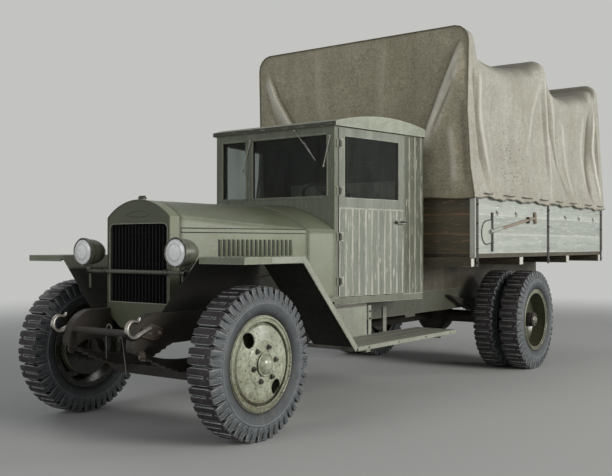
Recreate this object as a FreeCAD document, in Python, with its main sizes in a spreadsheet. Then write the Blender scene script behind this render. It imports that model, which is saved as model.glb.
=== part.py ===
"""Military cargo truck, built as a parametric assembly of separate pieces.

Frame: +X is the truck's left, the truck faces -Y, +Z is up. The origin is on
the ground under the middle of the overall length. Millimetres throughout.
"""
import FreeCAD, Part

import math
import os
import re

import Sketcher

doc = FreeCAD.newDocument("CargoTruck")
Vector = FreeCAD.Vector

# ---------------------------------------------------------------------------
# Driving dimensions: name, value, what it measures
# ---------------------------------------------------------------------------
SIZES = [
    ("overall_length", 6200, "tow hook tips to the tailgate's outer face"),
    ("front_overhang", 600, "front axle to the tow hook tips"),
    ("wheelbase", 3810, "front axle to rear axle"),
    ("sheet", 4, "thickness of the pressed sheet panels"),
    ("gap", 0.3, "running fit between neighbours"),
    ("clearance", 5, "gap round a moving panel"),
    # wheels
    ("tyre_radius", 455, "to the top of the lugs"),
    ("tyre_width", 200, "section width"),
    ("lug_count", 25, "lugs round a tyre"),
    ("lug_length", 88, "lug along the tread"),
    ("lug_depth", 24, "lug above the carcass"),
    ("lug_foot", 375, "where the lugs start on the side, from the axle line"),
    ("bead_radius", 262, "tyre's inside radius"),
    ("rim_flange_radius", 285, "rim's outer edge"),
    ("rim_width", 168, "across the flanges"),
    ("rim_sheet", 9, "rim thickness"),
    ("rim_flange", 7, "rim flange thickness"),
    ("front_track", 1545, "tyre centre to tyre centre"),
    ("rear_track", 1675, "between the middles of the twins"),
    ("twin_spacing", 252, "centre to centre of a twin pair"),
    ("disc_sheet", 8, "wheel disc thickness"),
    ("drum_radius", 196, "brake drum"),
    ("drum_width", 62, "brake drum"),
    ("hub_radius", 62, "hub barrel"),
    ("pan_radius", 130, "raised centre of a disc"),
    ("front_dish", 100, "front disc's face from the tyre's middle"),
    ("cap_radius", 60, "front hub cap"),
    ("hand_hole", 46, "hand hole radius"),
    ("hand_hole_place", 192, "hand hole from the axle line"),
    ("hand_hole_turn", 130, "hand hole's angle from the rear"),
    # frame
    ("rail_depth", 187, "frame rail height"),
    ("rail_bottom", 560, "underside above the ground"),
    ("rail_flange", 62, "flange width"),
    ("rail_wall", 7, "channel thickness"),
    ("rail_half_rear", 420, "centreline to the web behind the cab"),
    ("rail_half_front", 318, "centreline to the web at the nose"),
    ("rail_taper_start", 1150, "behind the front axle"),
    ("rail_rear", 5440, "rail end behind the front axle"),
    ("cross_depth", 110, "crossmember height"),
    ("cross_width", 60, "crossmember length along the truck"),
    ("jaw_half", 38, "towing jaw half height and half width"),
    ("jaw_slot", 16, "towing jaw slot half height"),
    ("jaw_reach", 140, "towing jaw behind the frame"),
    ("jaw_pin", 16, "towing pin bore radius"),
    # axles and springs
    ("pin_half", 632, "centreline to the king pin"),
    ("pin_radius", 16, "king pin"),
    ("pin_boss", 25, "axle end round the king pin"),
    ("pin_boss_half", 48, "half height of the axle end"),
    ("beam_depth", 62, "front axle beam height"),
    ("beam_width", 58, "front axle beam"),
    ("beam_centre", 338, "front axle beam height above the ground"),
    ("spring_width", 60, "leaf width"),
    ("leaf", 11, "leaf thickness"),
    ("horn_drop", 30, "frame horn's tip below the rail"),
    ("spring_pad", 10, "seat above the rear axle tube"),
    ("front_spring_span", 940, "eye to eye"),
    ("rear_spring_span", 1240, "eye to eye"),
    ("axle_tube", 58, "rear axle tube radius"),
    ("differential", 165, "rear axle centre casing radius"),
    ("stub_radius", 22, "stub axle radius"),
    ("tie_rod_radius", 14, "tie rod"),
    ("tie_rod_drop", 113, "tie rod below the axle line"),
    ("steer_arm", 180, "king pin to the tie rod's ball"),
    ("engine_half", 170, "engine half width"),
    ("gearbox_rear", 1500, "gearbox end behind the front axle"),
    # nose
    ("shell_front", 187, "radiator shell's face ahead of the front axle"),
    ("shell_depth", 84, "radiator shell"),
    ("shell_half", 283, "radiator shell half width"),
    ("shell_crown", 1438, "top of the radiator shell"),
    ("shell_shoulder", 1330, "where its arch starts"),
    ("shell_arch", 422, "arch radius"),
    ("grille_half", 262, "grille opening half width"),
    ("grille_bottom", 790, "grille opening"),
    ("grille_top", 1288, "grille opening"),
    ("grille_corner", 34, "grille opening corner radius"),
    ("slat", 7, "grille slat thickness"),
    ("slat_count", 17, "grille slats"),
    # bonnet and cowl
    ("cowl_front", 870, "behind the front axle"),
    ("cowl_half_front", 550, "cowl half width at the bonnet"),
    ("hood_side_top", 1258, "where the rear arch starts"),
    ("hood_arch", 922, "rear arch radius"),
    ("hood_crown", 1438, "top of the bonnet"),
    ("hood_low_front", 832, "bonnet side's lower edge at the nose"),
    ("hood_low_rear", 1012, "bonnet side's lower edge at the cowl"),
    # lamps
    ("lamp_half", 421, "centreline to a headlamp"),
    ("lamp_height", 234, "headlamp centre above the fender slope that it stands on"),
    ("lamp_front", 276, "lens ahead of the front axle"),
    ("lamp_radius", 90, "bezel"),
    ("lamp_depth", 168, "lens to the bucket's back"),
    ("lamp_bar_drop", 123, "bar between the lamps below their centres"),
    # fenders and running boards
    ("fender_half", 969, "outer edge of the fenders"),
    ("fender_top", 1085, "top of the fenders"),
    ("fender_front", 291, "front edge ahead of the front axle"),
    ("fender_back", 275, "rear end of the flat top"),
    ("fender_inner", 624, "inner edge of the flat top"),
    ("fender_foot_half", 318, "foot of the inner slope"),
    ("fender_foot", 752, "foot of the inner slope"),
    ("fender_lip", 40, "turned down edge"),
    ("board_front", 864, "running board front edge"),
    ("board_rear", 2300, "running board rear edge"),
    ("board_top", 477, "running board"),
    ("board_thick", 26, "running board"),
    ("board_inner", 606, "running board inner edge"),
    # cab
    ("screen", 1175, "windscreen plane behind the front axle"),
    ("cab_half", 570, "cab half width at the windscreen"),
    ("cab_spread", 10.24, "angle by which each side opens rearwards"),
    ("cab_corner", 91, "depth of the rounded rear corners"),
    ("cab_back", 2250, "rear face behind the front axle"),
    ("cab_back_half", 668, "half width of the flat rear wall"),
    ("cab_floor", 773, "top of the floor"),
    ("cab_sill", 23, "side sill below the floor"),
    ("cab_wall", 38, "wall and door thickness"),
    ("door_front", 47, "door's hinge edge along the side"),
    ("door_rear", 765, "door's lock edge along the side"),
    ("door_bottom", 778, "door"),
    ("door_top", 2010, "door"),
    ("hinge_radius", 7, "hinge barrels"),
    ("hinge_length", 58, "hinge barrels"),
    ("window_front", 106, "door window along the side"),
    ("window_rear", 707, "door window along the side"),
    ("window_bottom", 1500, "cab windows"),
    ("window_top", 1947, "cab windows"),
    ("glass", 6, "window glass"),
    ("rear_window_half", 260, "rear window half width"),
    ("rear_window_low", 1560, "rear window"),
    ("rear_window_high", 1860, "rear window"),
    ("screen_base", 1464, "windscreen frame's lower edge"),
    ("screen_half", 512, "windscreen opening half width"),
    ("post_left", -205, "windscreen post"),
    ("post_right", -254, "windscreen post"),
    ("roof_bottom", 2015, "ceiling"),
    ("roof_front", 2045, "top of the front fascia"),
    ("roof_crown", 2122, "highest point"),
    ("roof_overhang", 24, "past the walls"),
    ("plank", 71, "width of a cab plank"),
    ("plank_top", 1420, "cab planks' upper end"),
    ("groove", 5, "joint between planks"),
    ("seat_top", 1200, "cushion"),
    ("seat_front", 1730, "cushion front edge"),
    ("seat_half", 560, "cushion half width"),
    ("seat_thick", 120, "cushion"),
    ("seat_back_top", 1690, "seat back"),
    ("wheel_radius", 215, "steering wheel"),
    ("wheel_grip", 13, "steering wheel rim"),
    ("wheel_boss", 34, "steering wheel boss radius and depth"),
    ("wheel_spoke", 8, "steering wheel spokes"),
    ("column_half", 300, "centreline to the steering column"),
    ("column_tilt", 32, "column from upright"),
    ("column_radius", 20, "steering column"),
    # bed
    ("bed_half", 1117, "bed half width"),
    ("bed_front", 2352, "front board"),
    ("bed_bottom", 1050, "floor's underside"),
    ("bed_floor", 35, "floor thickness"),
    ("bed_top", 1560, "top of the side boards"),
    ("board_wall", 30, "side board thickness"),
    ("sill_bottom", 747, "long timbers on the rails"),
    ("sill_width", 80, "long timbers"),
    ("beam_under", 980, "cross beams' underside"),
    ("gate_hinge", 9, "tailgate hinge barrel radius"),
    ("gate_strap", 70, "tailgate hinge width"),
    ("iron", 6, "side iron thickness"),
    ("iron_width", 46, "side iron width"),
    ("shovel_front", 2545, "spade's tip behind the front axle"),
    ("shovel_height", 1252, "spade's tip above the ground"),
    ("shovel_length", 1060, "spade"),
    ("shovel_tilt", 8, "spade's slope, degrees"),
    # cover
    ("cover_ease", 29, "hem outside the side boards"),
    ("cover_hem", 1532, "hem height"),
    ("cover_corner", 130, "radius over a hoop's corner"),
    ("cover_lean", 42, "cover's shoulder inside the side boards' outer faces"),
    ("cover_top", 2920, "top over a hoop"),
    ("cover_sag", 173, "drop of the top between hoops"),
    ("cover_round", 100, "added to its corner radius between hoops"),
    ("cover_pull", 45, "sides drawn in between hoops"),
    ("cover_thick", 22, "cover thickness"),
    ("cover_front", 2328, "front face"),
    ("hoop_depth", 52, "hoop timber along the truck"),
    ("hoop_thick", 26, "hoop timber"),
]

# Places worked out from the sizes above
PLACES = {
    "axle_a": "front_overhang - overall_length / 2",
    "axle_b": "axle_a + wheelbase",
    "rail_top": "rail_bottom + rail_depth",
    "tail": "overall_length / 2 - gate_hinge",
    "gate_axis": "floor_top - 8",
    "front_tyre": "front_track / 2",
    "outer_tyre": "rear_track / 2 + twin_spacing / 2",
    "inner_tyre": "rear_track / 2 - twin_spacing / 2",
    "bed_rear": "tail - board_wall",
    "floor_top": "bed_bottom + bed_floor",
    "hood_front": "axle_a - shell_front + shell_depth",
    "hood_back": "axle_a + cowl_front",
    "wall_low": "cab_floor + gap",
    "floor_low": "rail_top + gap",
    "skin_rise": "(fender_top - fender_foot) / (fender_inner - fender_foot_half)",
    "horn_tip": "rail_bottom - horn_drop",
    "lamp_foot": "fender_foot + (lamp_half + 10 - fender_foot_half) * skin_rise",
    "lamp_centre": "lamp_foot + lamp_height",
    "lamp_bar": "lamp_centre - lamp_bar_drop",
    "cover_half_hem": "bed_half + cover_ease",
    "cover_half_top": "bed_half - cover_lean - cover_corner",
    "lug_pitch": "360 / lug_count",
    "side_end": "axle_a + cab_back - cab_corner",
    "cab_side": "(cab_back - cab_corner - screen) / cos(cab_spread * 1deg)",
    "side_end_half": "cab_half + cab_side * sin(cab_spread * 1deg)",
}

sheet = doc.addObject("Spreadsheet::Sheet", "Sizes")
for row, (alias, value, meaning) in enumerate(SIZES, start=1):
    sheet.set("A%d" % row, alias)
    sheet.set("B%d" % row, str(value))
    sheet.set("C%d" % row, meaning)
    sheet.setAlias("B%d" % row, alias)
doc.recompute()

FUNCTIONS = {"sin", "cos", "tan", "sqrt", "atan", "deg"}


def expand(text):
    """Write a size or place as a full expression on the spreadsheet."""
    def swap(match):
        word = match.group(0)
        if word in FUNCTIONS:
            return word
        if word in PLACES:
            return "(" + expand(PLACES[word]) + ")"
        return "Sizes." + word
    return re.sub(r"[a-z_][a-z_0-9]*", swap, str(text))


def size(text):
    """The number that a size or place stands for."""
    value = sheet.evalExpression(expand(text))
    return float(getattr(value, "Value", value))


def bind(obj, path, text):
    obj.setExpression(path, expand(text))


# ---------------------------------------------------------------------------
# Small builders: every size is bound to the spreadsheet
# ---------------------------------------------------------------------------
def box(name, x, y, z):
    """A block from pairs of (low, high) along each axis."""
    obj = doc.addObject("Part::Box", name)
    for prop, axis, (low, high) in zip(("Length", "Width", "Height"), "xyz", (x, y, z)):
        bind(obj, prop, "(%s) - (%s)" % (high, low))
        bind(obj, "Placement.Base." + axis, low)
    return obj


TURN = {"x": (Vector(0, 1, 0), 90), "y": (Vector(1, 0, 0), -90), "z": (Vector(0, 0, 1), 0)}


def cylinder(name, axis, start, radius, length):
    """A cylinder from its start point along +axis."""
    obj = doc.addObject("Part::Cylinder", name)
    obj.Placement = FreeCAD.Placement(Vector(), FreeCAD.Rotation(*TURN[axis]))
    bind(obj, "Radius", radius)
    bind(obj, "Height", length)
    for letter, text in zip("xyz", start):
        bind(obj, "Placement.Base." + letter, text)
    return obj


PLANES = {
    "XY": (FreeCAD.Rotation(), Vector(0, 0, 1)),
    "XZ": (FreeCAD.Rotation(Vector(1, 0, 0), 90), Vector(0, 1, 0)),
    "YZ": (FreeCAD.Rotation(Vector(1, 1, 1), 120), Vector(1, 0, 0)),
}


def arc_between(start, end, radius, side):
    """Arc geometry from start to end with its centre to the left (side 1) or right (-1)."""
    chord = end - start
    middle = (start + end) * 0.5
    normal = Vector(-chord.y, chord.x, 0).normalize()
    rise = math.sqrt(max(radius ** 2 - (chord.Length / 2) ** 2, 0))
    centre = middle + normal * rise * side
    first, last = (start, end) if side > 0 else (end, start)
    angle_a = math.atan2(first.y - centre.y, first.x - centre.x)
    angle_b = math.atan2(last.y - centre.y, last.x - centre.x)
    circle = Part.Circle(centre, Vector(0, 0, 1), radius)
    return Part.ArcOfCircle(circle, angle_a, angle_b)


def sketch(name, plane, loops, at=("0", "0", "0")):
    """Closed outlines on a plane.

    A loop is a list of corners (u, v), or (u, v, radius, side) where an arc
    ends; a round hole is the single entry ("circle", u, v, radius).
    """
    obj = doc.addObject("Sketcher::SketchObject", name)
    obj.Placement = FreeCAD.Placement(Vector(), PLANES[plane][0])
    for letter, text in zip("xyz", at):
        bind(obj, "Placement.Base." + letter, text)
    bindings = []
    for loop in loops:
        first = obj.GeometryCount
        if loop[0] == "circle":
            kind, u, v, radius = loop
            centre = Vector(size(u), size(v), 0)
            obj.addGeometry(Part.Circle(centre, Vector(0, 0, 1), size(radius)))
            bindings.append((Sketcher.Constraint("DistanceX", first, 3, centre.x), u))
            bindings.append((Sketcher.Constraint("DistanceY", first, 3, centre.y), v))
            bindings.append((Sketcher.Constraint("Radius", first, size(radius)), radius))
            continue
        points = [Vector(size(c[0]), size(c[1]), 0) for c in loop]
        ends = []
        for i, corner in enumerate(loop):
            start, end = points[i - 1], points[i]
            if len(corner) == 2:
                obj.addGeometry(Part.LineSegment(start, end))
                ends.append((1, 2))
            else:
                obj.addGeometry(arc_between(start, end, size(corner[2]), corner[3]))
                ends.append((1, 2) if corner[3] > 0 else (2, 1))
        for i, corner in enumerate(loop):
            here = first + i
            after = first + (i + 1) % len(loop)
            join = Sketcher.Constraint("Coincident", here, ends[i][1], after, ends[(i + 1) % len(loop)][0])
            bindings.append((join, None))
            bindings.append((Sketcher.Constraint("DistanceX", here, ends[i][1], points[i].x), corner[0]))
            bindings.append((Sketcher.Constraint("DistanceY", here, ends[i][1], points[i].y), corner[1]))
            if len(corner) == 4:
                bindings.append((Sketcher.Constraint("Radius", here, size(corner[2])), corner[2]))
    obj.addConstraint([constraint for constraint, text in bindings])
    for index, (constraint, text) in enumerate(bindings):
        if text is not None:
            bind(obj, "Constraints[%d]" % index, text)
    return obj


def prism(name, plane, loops, low, high):
    """Outlines pushed out across their plane from low to high."""
    across = PLANES[plane][1]
    at = [low if part else "0" for part in across]
    obj = doc.addObject("Part::Extrusion", name)
    obj.Base = sketch(name + "_outline", plane, loops, at)
    obj.DirMode = "Custom"
    obj.Dir = across
    bind(obj, "LengthFwd", "(%s) - (%s)" % (high, low))
    obj.Solid = True
    return obj


def turned(name, outline, axis, centre):
    """A closed outline (along the axis, radius) turned round an axis through centre."""
    plane = "XZ" if axis == "x" else "YZ"
    obj = doc.addObject("Part::Revolution", name)
    obj.Source = sketch(name + "_outline", plane, [outline], centre)
    obj.Axis = Vector(1, 0, 0) if axis == "x" else Vector(0, 1, 0)
    for letter, text in zip("xyz", centre):
        bind(obj, "Base." + letter, text)
    obj.Angle = 360
    obj.Solid = True
    return obj


def fuse(name, pieces):
    obj = doc.addObject("Part::MultiFuse", name)
    obj.Shapes = pieces
    obj.Refine = True
    return obj


def cut(name, base, tools):
    if not tools:
        return base
    obj = doc.addObject("Part::Cut", name)
    obj.Base = base
    obj.Tool = tools[0] if len(tools) == 1 else group(name + "_tools", tools)
    return obj


def common(name, pieces):
    obj = doc.addObject("Part::MultiCommon", name)
    obj.Shapes = pieces
    return obj


def group(name, pieces):
    obj = doc.addObject("Part::Compound", name)
    obj.Links = pieces
    return obj


def mirrored(name, source):
    obj = doc.addObject("Part::Mirroring", name)
    obj.Source = source
    obj.Normal = Vector(1, 0, 0)
    return obj


def loft(name, sections):
    obj = doc.addObject("Part::Loft", name)
    obj.Sections = sections
    obj.Solid = True
    obj.Ruled = True
    return obj


def shape_piece(name, shape):
    obj = doc.addObject("Part::Feature", name)
    obj.Shape = shape
    return obj


NODES = []


def node(label, obj):
    """Name a finished sub-part; its label is its file name."""
    obj.Label = label
    NODES.append(obj)
    return obj


def pair(label, obj):
    """A left piece and its mirror image on the right."""
    node(label + "_left", obj)
    node(label + "_right", mirrored(label + "_right", obj))


# ---------------------------------------------------------------------------
# Frame, crossmembers, hooks
# ---------------------------------------------------------------------------
def frame_rails():
    web_line = [
        ("rail_half_front", "axle_a - 170"),
        ("rail_half_front", "axle_a + 300"),
        ("rail_half_rear", "axle_a + rail_taper_start"),
        ("rail_half_rear", "axle_a + rail_rear"),
    ]
    inner_line = [(u + " - rail_flange", v) for u, v in reversed(web_line)]
    hollow = [(u + " - rail_wall", v) for u, v in web_line]
    hollow_inner = [(u + " - rail_flange - 1", v) for u, v in reversed(web_line)]
    solid = prism("rail_solid", "XY", [web_line + inner_line], "rail_bottom", "rail_top")
    void = prism("rail_void", "XY", [hollow + hollow_inner],
                 "rail_bottom + rail_wall", "rail_top - rail_wall")
    channel = cut("rail_channel", solid, [void])
    horn = prism("rail_horn", "YZ", [[
        ("axle_a - 169", "rail_bottom"),
        ("axle_a - 169", "rail_top"),
        ("axle_a - 350", "rail_top"),
        ("axle_a - 516", "rail_bottom - 4", "200", 1),
        ("axle_a - 506", "horn_tip"),
        ("axle_a - 440", "horn_tip"),
        ("axle_a - 380", "rail_bottom", "110", -1),
    ]], "rail_half_front - rail_flange", "rail_half_front")
    half_span = "front_spring_span / 2"
    shackle = box("front_shackle", ("rail_half_front - rail_flange + gap", "rail_half_front - gap"),
                  ("axle_a + %s - 60" % half_span, "axle_a + %s" % half_span), ("horn_tip", "rail_bottom"))
    left = fuse("rail_left_piece", [channel, horn, shackle])
    node("frame_rails", group("rail_set", [left, mirrored("rail_right_piece", left)]))


def crossmembers():
    # y behind the front axle, reach: half length between the webs
    rows = [
        ("cross_a", "shell_depth - shell_front", "rail_half_front - rail_wall"),
        ("cross_b", "gearbox_rear + gap", "rail_half_rear - rail_wall"),
        ("cross_c", "2700", "rail_half_rear - rail_wall"),
        ("cross_d", "4430", "rail_half_rear - rail_wall"),
        ("cross_e", "rail_rear - cross_width", "rail_half_rear - rail_wall"),
    ]
    beams = []
    for name, place, reach in rows:
        beams.append(box(name, ("-(%s)" % reach, reach),
                         ("axle_a + " + place, "axle_a + %s + cross_width" % place),
                         ("rail_bottom + rail_wall", "rail_bottom + rail_wall + cross_depth")))
    jaw_z = "rail_bottom + rail_wall + cross_depth / 2"
    root, tip, throat = ("axle_a + rail_rear" + reach for reach in (" - 1", " + jaw_reach", " + 40"))
    jaw = prism("tow_jaw", "YZ", [[
        (root, jaw_z + " - jaw_half"), (tip, jaw_z + " - jaw_half"),
        (tip, jaw_z + " - jaw_slot"), (throat, jaw_z + " - jaw_slot"),
        (throat, jaw_z + " + jaw_slot"), (tip, jaw_z + " + jaw_slot"),
        (tip, jaw_z + " + jaw_half"), (root, jaw_z + " + jaw_half"),
    ]], "-(jaw_half)", "jaw_half")
    bore = cylinder("jaw_bore", "z", ("0", "axle_a + rail_rear + jaw_reach - 40", jaw_z + " - jaw_half - 1"),
                    "jaw_pin", "2 * jaw_half + 2")
    beams[-1] = fuse("cross_rear", [beams[-1], cut("jaw_drilled", jaw, [bore])])
    bar = cylinder("nose_bar", "x", ("-(rail_half_front - rail_flange)", "axle_a - 470", "rail_bottom + 72"),
                   "21", "2 * (rail_half_front - rail_flange)")
    node("crossmembers", group("crossmember_set", beams + [bar]))


def tow_hooks():
    def hook(name, y, z):
        ring = prism(name + "_ring", "YZ", [[
            (y, z + " + 34"),
            (y + " - 34", z, "34", 1),
            (y, z + " - 34", "34", 1),
            (y + " + 150", z + " - 34"),
            (y + " + 150", z + " + 6"),
            (y + " + 10", z + " - 8"),
            (y, z + " - 6"),
            (y + " - 12", z, "9", -1),
            (y + " - 10", z + " + 14"),
        ]], "rail_half_front + gap", "rail_half_front + 26")
        return ring
    left = hook("hook", "axle_a - 566", "rail_bottom + 114")
    node("tow_hooks", group("hook_set", [left, mirrored("hook_right", left)]))


# ---------------------------------------------------------------------------
# Springs and axles
# ---------------------------------------------------------------------------
def leaf_pack(name, x, y, seat, eye, span, leaves):
    """Curved leaves stacked under the main leaf, whose ends reach up to the eye height."""
    width, leaf = size("spring_width"), size("leaf")
    centre_y = size(y)
    top = size(seat) + leaves * leaf
    rise = size(eye) - top
    radius = ((size(span) / 2) ** 2 + rise ** 2) / (2 * rise)
    pieces = []
    for i in range(leaves):
        half = size(span) / 2 * (1 - 0.78 * i / leaves)
        upper, lower = radius + leaf * i, radius + leaf * (i + 1)
        ring = []
        for r in (upper, lower):
            drop = math.sqrt(r * r - half * half)
            middle = Vector(0, centre_y, top + radius - r)
            ring.append([Vector(0, centre_y - half, top + radius - drop), middle,
                         Vector(0, centre_y + half, top + radius - drop)])
        edges = [
            Part.Arc(*ring[0]).toShape(),
            Part.makeLine(ring[0][2], ring[1][2]),
            Part.Arc(*reversed(ring[1])).toShape(),
            Part.makeLine(ring[1][0], ring[0][0]),
        ]
        face = Part.Face(Part.Wire(edges))
        face.translate(Vector(size(x) - width / 2, 0, 0))
        pieces.append(face.extrude(Vector(width, 0, 0)))
    return shape_piece(name, pieces[0].fuse(pieces[1:]).removeSplitter())


def springs():
    front = leaf_pack("front_leaves", "rail_half_front - rail_flange / 2", "axle_a",
                      "beam_centre + beam_depth / 2", "horn_tip - gap", "front_spring_span", 7)
    rear = leaf_pack("rear_leaves", "rail_half_rear + gap + spring_width / 2", "axle_b",
                     "tyre_radius + axle_tube + spring_pad", "rail_top - 50", "rear_spring_span", 9)
    for name, left in (("front_springs", front), ("rear_springs", rear)):
        node(name, group(name + "_set", [left, mirrored(name + "_right", left)]))


def front_axle():
    low, high = "beam_centre - beam_depth / 2", "beam_centre + beam_depth / 2"
    half = [
        ("0", low), ("rail_half_front + 42", low), ("pin_half - 48", "tyre_radius - pin_boss_half"),
        ("pin_half", "tyre_radius - pin_boss_half"), ("pin_half", "tyre_radius + pin_boss_half"),
        ("pin_half - 48", "tyre_radius + pin_boss_half"), ("pin_half - 82", "tyre_radius - 20"),
        ("rail_half_front + 22", high), ("0", high),
    ]
    beam_left = prism("beam_half", "XZ", [half], "axle_a - beam_width / 2", "axle_a + beam_width / 2")
    bore = cylinder("beam_bore", "z", ("pin_half", "axle_a", "tyre_radius - 60"), "pin_radius + gap", "120")
    boss = cylinder("beam_boss", "z", ("pin_half", "axle_a", "tyre_radius - pin_boss_half"), "pin_boss",
                    "2 * pin_boss_half")
    drilled = cut("beam_drilled", fuse("beam_end", [beam_left, boss]), [bore])
    node("front_axle", fuse("front_axle_piece", [drilled, mirrored("beam_right", drilled)]))


def rear_axle():
    reach = "rear_track / 2 - 110"
    tube = cylinder("axle_tube_bar", "x", ("-(%s)" % reach, "axle_b", "tyre_radius"),
                    "axle_tube", "2 * (%s)" % reach)
    casing = turned("axle_casing", [
        ("-130", "0"), ("-130", "differential * 0.55"), ("-70", "differential", "150", -1),
        ("70", "differential"), ("130", "differential * 0.55", "150", -1), ("130", "0"),
    ], "y", ("0", "axle_b", "tyre_radius"))
    pad = box("spring_pad_block", ("rail_half_rear + gap", "rail_half_rear + gap + spring_width"),
              ("axle_b - 60", "axle_b + 60"), ("tyre_radius", "tyre_radius + axle_tube + spring_pad"))
    shaft = cylinder("shaft_bar", "y", ("0", "axle_a + gearbox_rear + gap", "tyre_radius"), "36",
                     "wheelbase - gearbox_rear - 100")
    node("rear_axle", fuse("rear_axle_piece", [tube, casing, pad, mirrored("pad_right", pad), shaft]))


def engine():
    block = box("engine_bulk", ("-(engine_half)", "engine_half"), ("axle_a + 30", "axle_a + 840"),
                ("rail_bottom", "1230"))
    gearbox = box("gearbox_bulk", ("-(engine_half) + 50", "engine_half - 50"),
                  ("axle_a + 840", "axle_a + gearbox_rear"), ("tyre_radius - 55", "floor_low - 25"))
    reach = "rail_half_front - rail_flange - gap"
    feet = box("engine_feet", ("-(%s)" % reach, reach), ("axle_a + 150", "axle_a + 220"),
               ("rail_bottom + 40", "rail_bottom + 80"))
    node("engine_block", fuse("engine_piece", [block, gearbox, feet]))


# ---------------------------------------------------------------------------
# Steering
# ---------------------------------------------------------------------------
def knuckles():
    reach = "pin_boss_half + 24"
    pin = cylinder("king_pin", "z", ("pin_half", "axle_a", "tyre_radius - (%s)" % reach), "pin_radius",
                   "2 * (%s)" % reach)
    wide, deep = ("pin_half - 24", "pin_half + pin_boss + 17"), ("axle_a - 26", "axle_a + 26")
    arm_top = box("yoke_top", wide, deep, ("tyre_radius + pin_boss_half + 1", "tyre_radius + " + reach))
    arm_low = box("yoke_low", wide, deep, ("tyre_radius - (%s)" % reach, "tyre_radius - pin_boss_half - 1"))
    cheek = box("yoke_cheek", ("pin_half + pin_boss + 2", "pin_half + pin_boss + 17"), deep,
                ("tyre_radius - (%s)" % reach, "tyre_radius + " + reach))
    spindle = cylinder("spindle", "x", ("pin_half + 40", "axle_a", "tyre_radius"),
                       "stub_radius", "front_tyre - pin_half + 20")
    lever = box("steer_lever", ("pin_half - 20", "pin_half + 12"), ("axle_a", "axle_a + steer_arm + 16"),
                ("tyre_radius - 90", "tyre_radius - 72"))
    stud = cylinder("steer_stud", "z", ("pin_half - 4", "axle_a + steer_arm", "tyre_radius - 98"), "11", "12")
    node("knuckle_left", fuse("knuckle_piece", [pin, arm_top, arm_low, cheek, spindle, lever, stud]))
    node("knuckle_right", mirrored("knuckle_right_piece", NODES[-1]))
    ball = "pin_half - 4"
    rod = cylinder("rod_bar", "x", ("-(%s)" % ball, "axle_a + steer_arm", "tyre_radius - tie_rod_drop"),
                   "tie_rod_radius", "2 * (%s)" % ball)
    eye = cylinder("rod_eye", "z", (ball, "axle_a + steer_arm", "tyre_radius - 127"), "19", "29 - gap")
    node("tie_rod", fuse("tie_rod_piece", [rod, eye, mirrored("rod_eye_right", eye)]))


# ---------------------------------------------------------------------------
# Wheels: outline columns are (along the axle from the tyre centre, radius)
# ---------------------------------------------------------------------------
def turned_about_axle(name, piece, angle):
    obj = group(name, [piece])
    obj.Placement = FreeCAD.Placement(Vector(), FreeCAD.Rotation(Vector(1, 0, 0), size(angle)))
    bind(obj, "Placement.Rotation.Angle", angle)
    return obj


def tyre():
    """One tyre round the X axis, of equal flat segments that each carry a lug."""
    half, bead = "tyre_width / 2", "rim_width / 2 - rim_flange - gap"

    def across(line):
        """Close a line of (half width, radius) points with its mirror image."""
        return [(x, r) for x, r in line] + [("-(%s)" % x, r) for x, r in reversed(line)]
    slab = prism("carcass_slab", "XZ", [across([
        (bead, "bead_radius"), (bead, "rim_flange_radius + gap"), (half, "lug_foot"),
        (half + " - 22", "tyre_radius - lug_depth"),
    ])], "-(lug_length)", "lug_length")
    reach = "tyre_radius * tan(lug_pitch / 2 * 1deg)"
    wedge = prism("carcass_wedge", "YZ", [[
        ("0", "0"), (reach, "tyre_radius"), ("-(%s)" % reach, "tyre_radius"),
    ]], "-(tyre_width)", "tyre_width")
    lug = prism("lug", "XZ", [across([(half, "lug_foot"), (half + " - 14", "tyre_radius")])],
                "-(lug_length) / 2", "lug_length / 2")
    segment = fuse("tyre_segment", [common("carcass_segment", [slab, wedge]), lug])
    segments = [turned_about_axle("tyre_segment_%02d" % i, segment, "180 + lug_pitch * %d" % i)
                for i in range(int(size("lug_count")))]
    return fuse("tyre_shape", segments)


def placed(name, piece, centre):
    obj = group(name, [piece])
    for letter, text in zip("xyz", centre):
        bind(obj, "Placement.Base." + letter, text)
    return obj


TYRE = tyre()


def rim(name, centre):
    half, seat, flange = "rim_width / 2", "bead_radius - gap", "rim_flange_radius"
    return turned(name, [
        ("-(%s)" % half, seat + " - rim_sheet"), ("-(%s)" % half, flange),
        ("-(%s) + rim_flange" % half, flange), ("-(%s) + rim_flange" % half, seat),
        ("%s - rim_flange" % half, seat), ("%s - rim_flange" % half, flange),
        (half, flange), (half, seat + " - rim_sheet"),
    ], "x", centre)


def disc(name, centre, face, shoulder):
    """Pressed disc from its rim seat out to the face; a negative face points to -X."""
    sign = "-" if face.startswith("-") else ""
    seat = "bead_radius - gap - rim_sheet"
    line = [("48", seat + " + 1"), (shoulder, seat + " - 26"), (face.strip("-") + " - 5", "pan_radius + 8"),
            (face.strip("-"), "pan_radius"), (face.strip("-"), "20")]
    outline = [("%s(%s)" % (sign, x), r) for x, r in line]
    outline += [("%s(%s - disc_sheet)" % (sign, x), r) for x, r in reversed(line)]
    return turned(name, outline, "x", centre)


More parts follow.
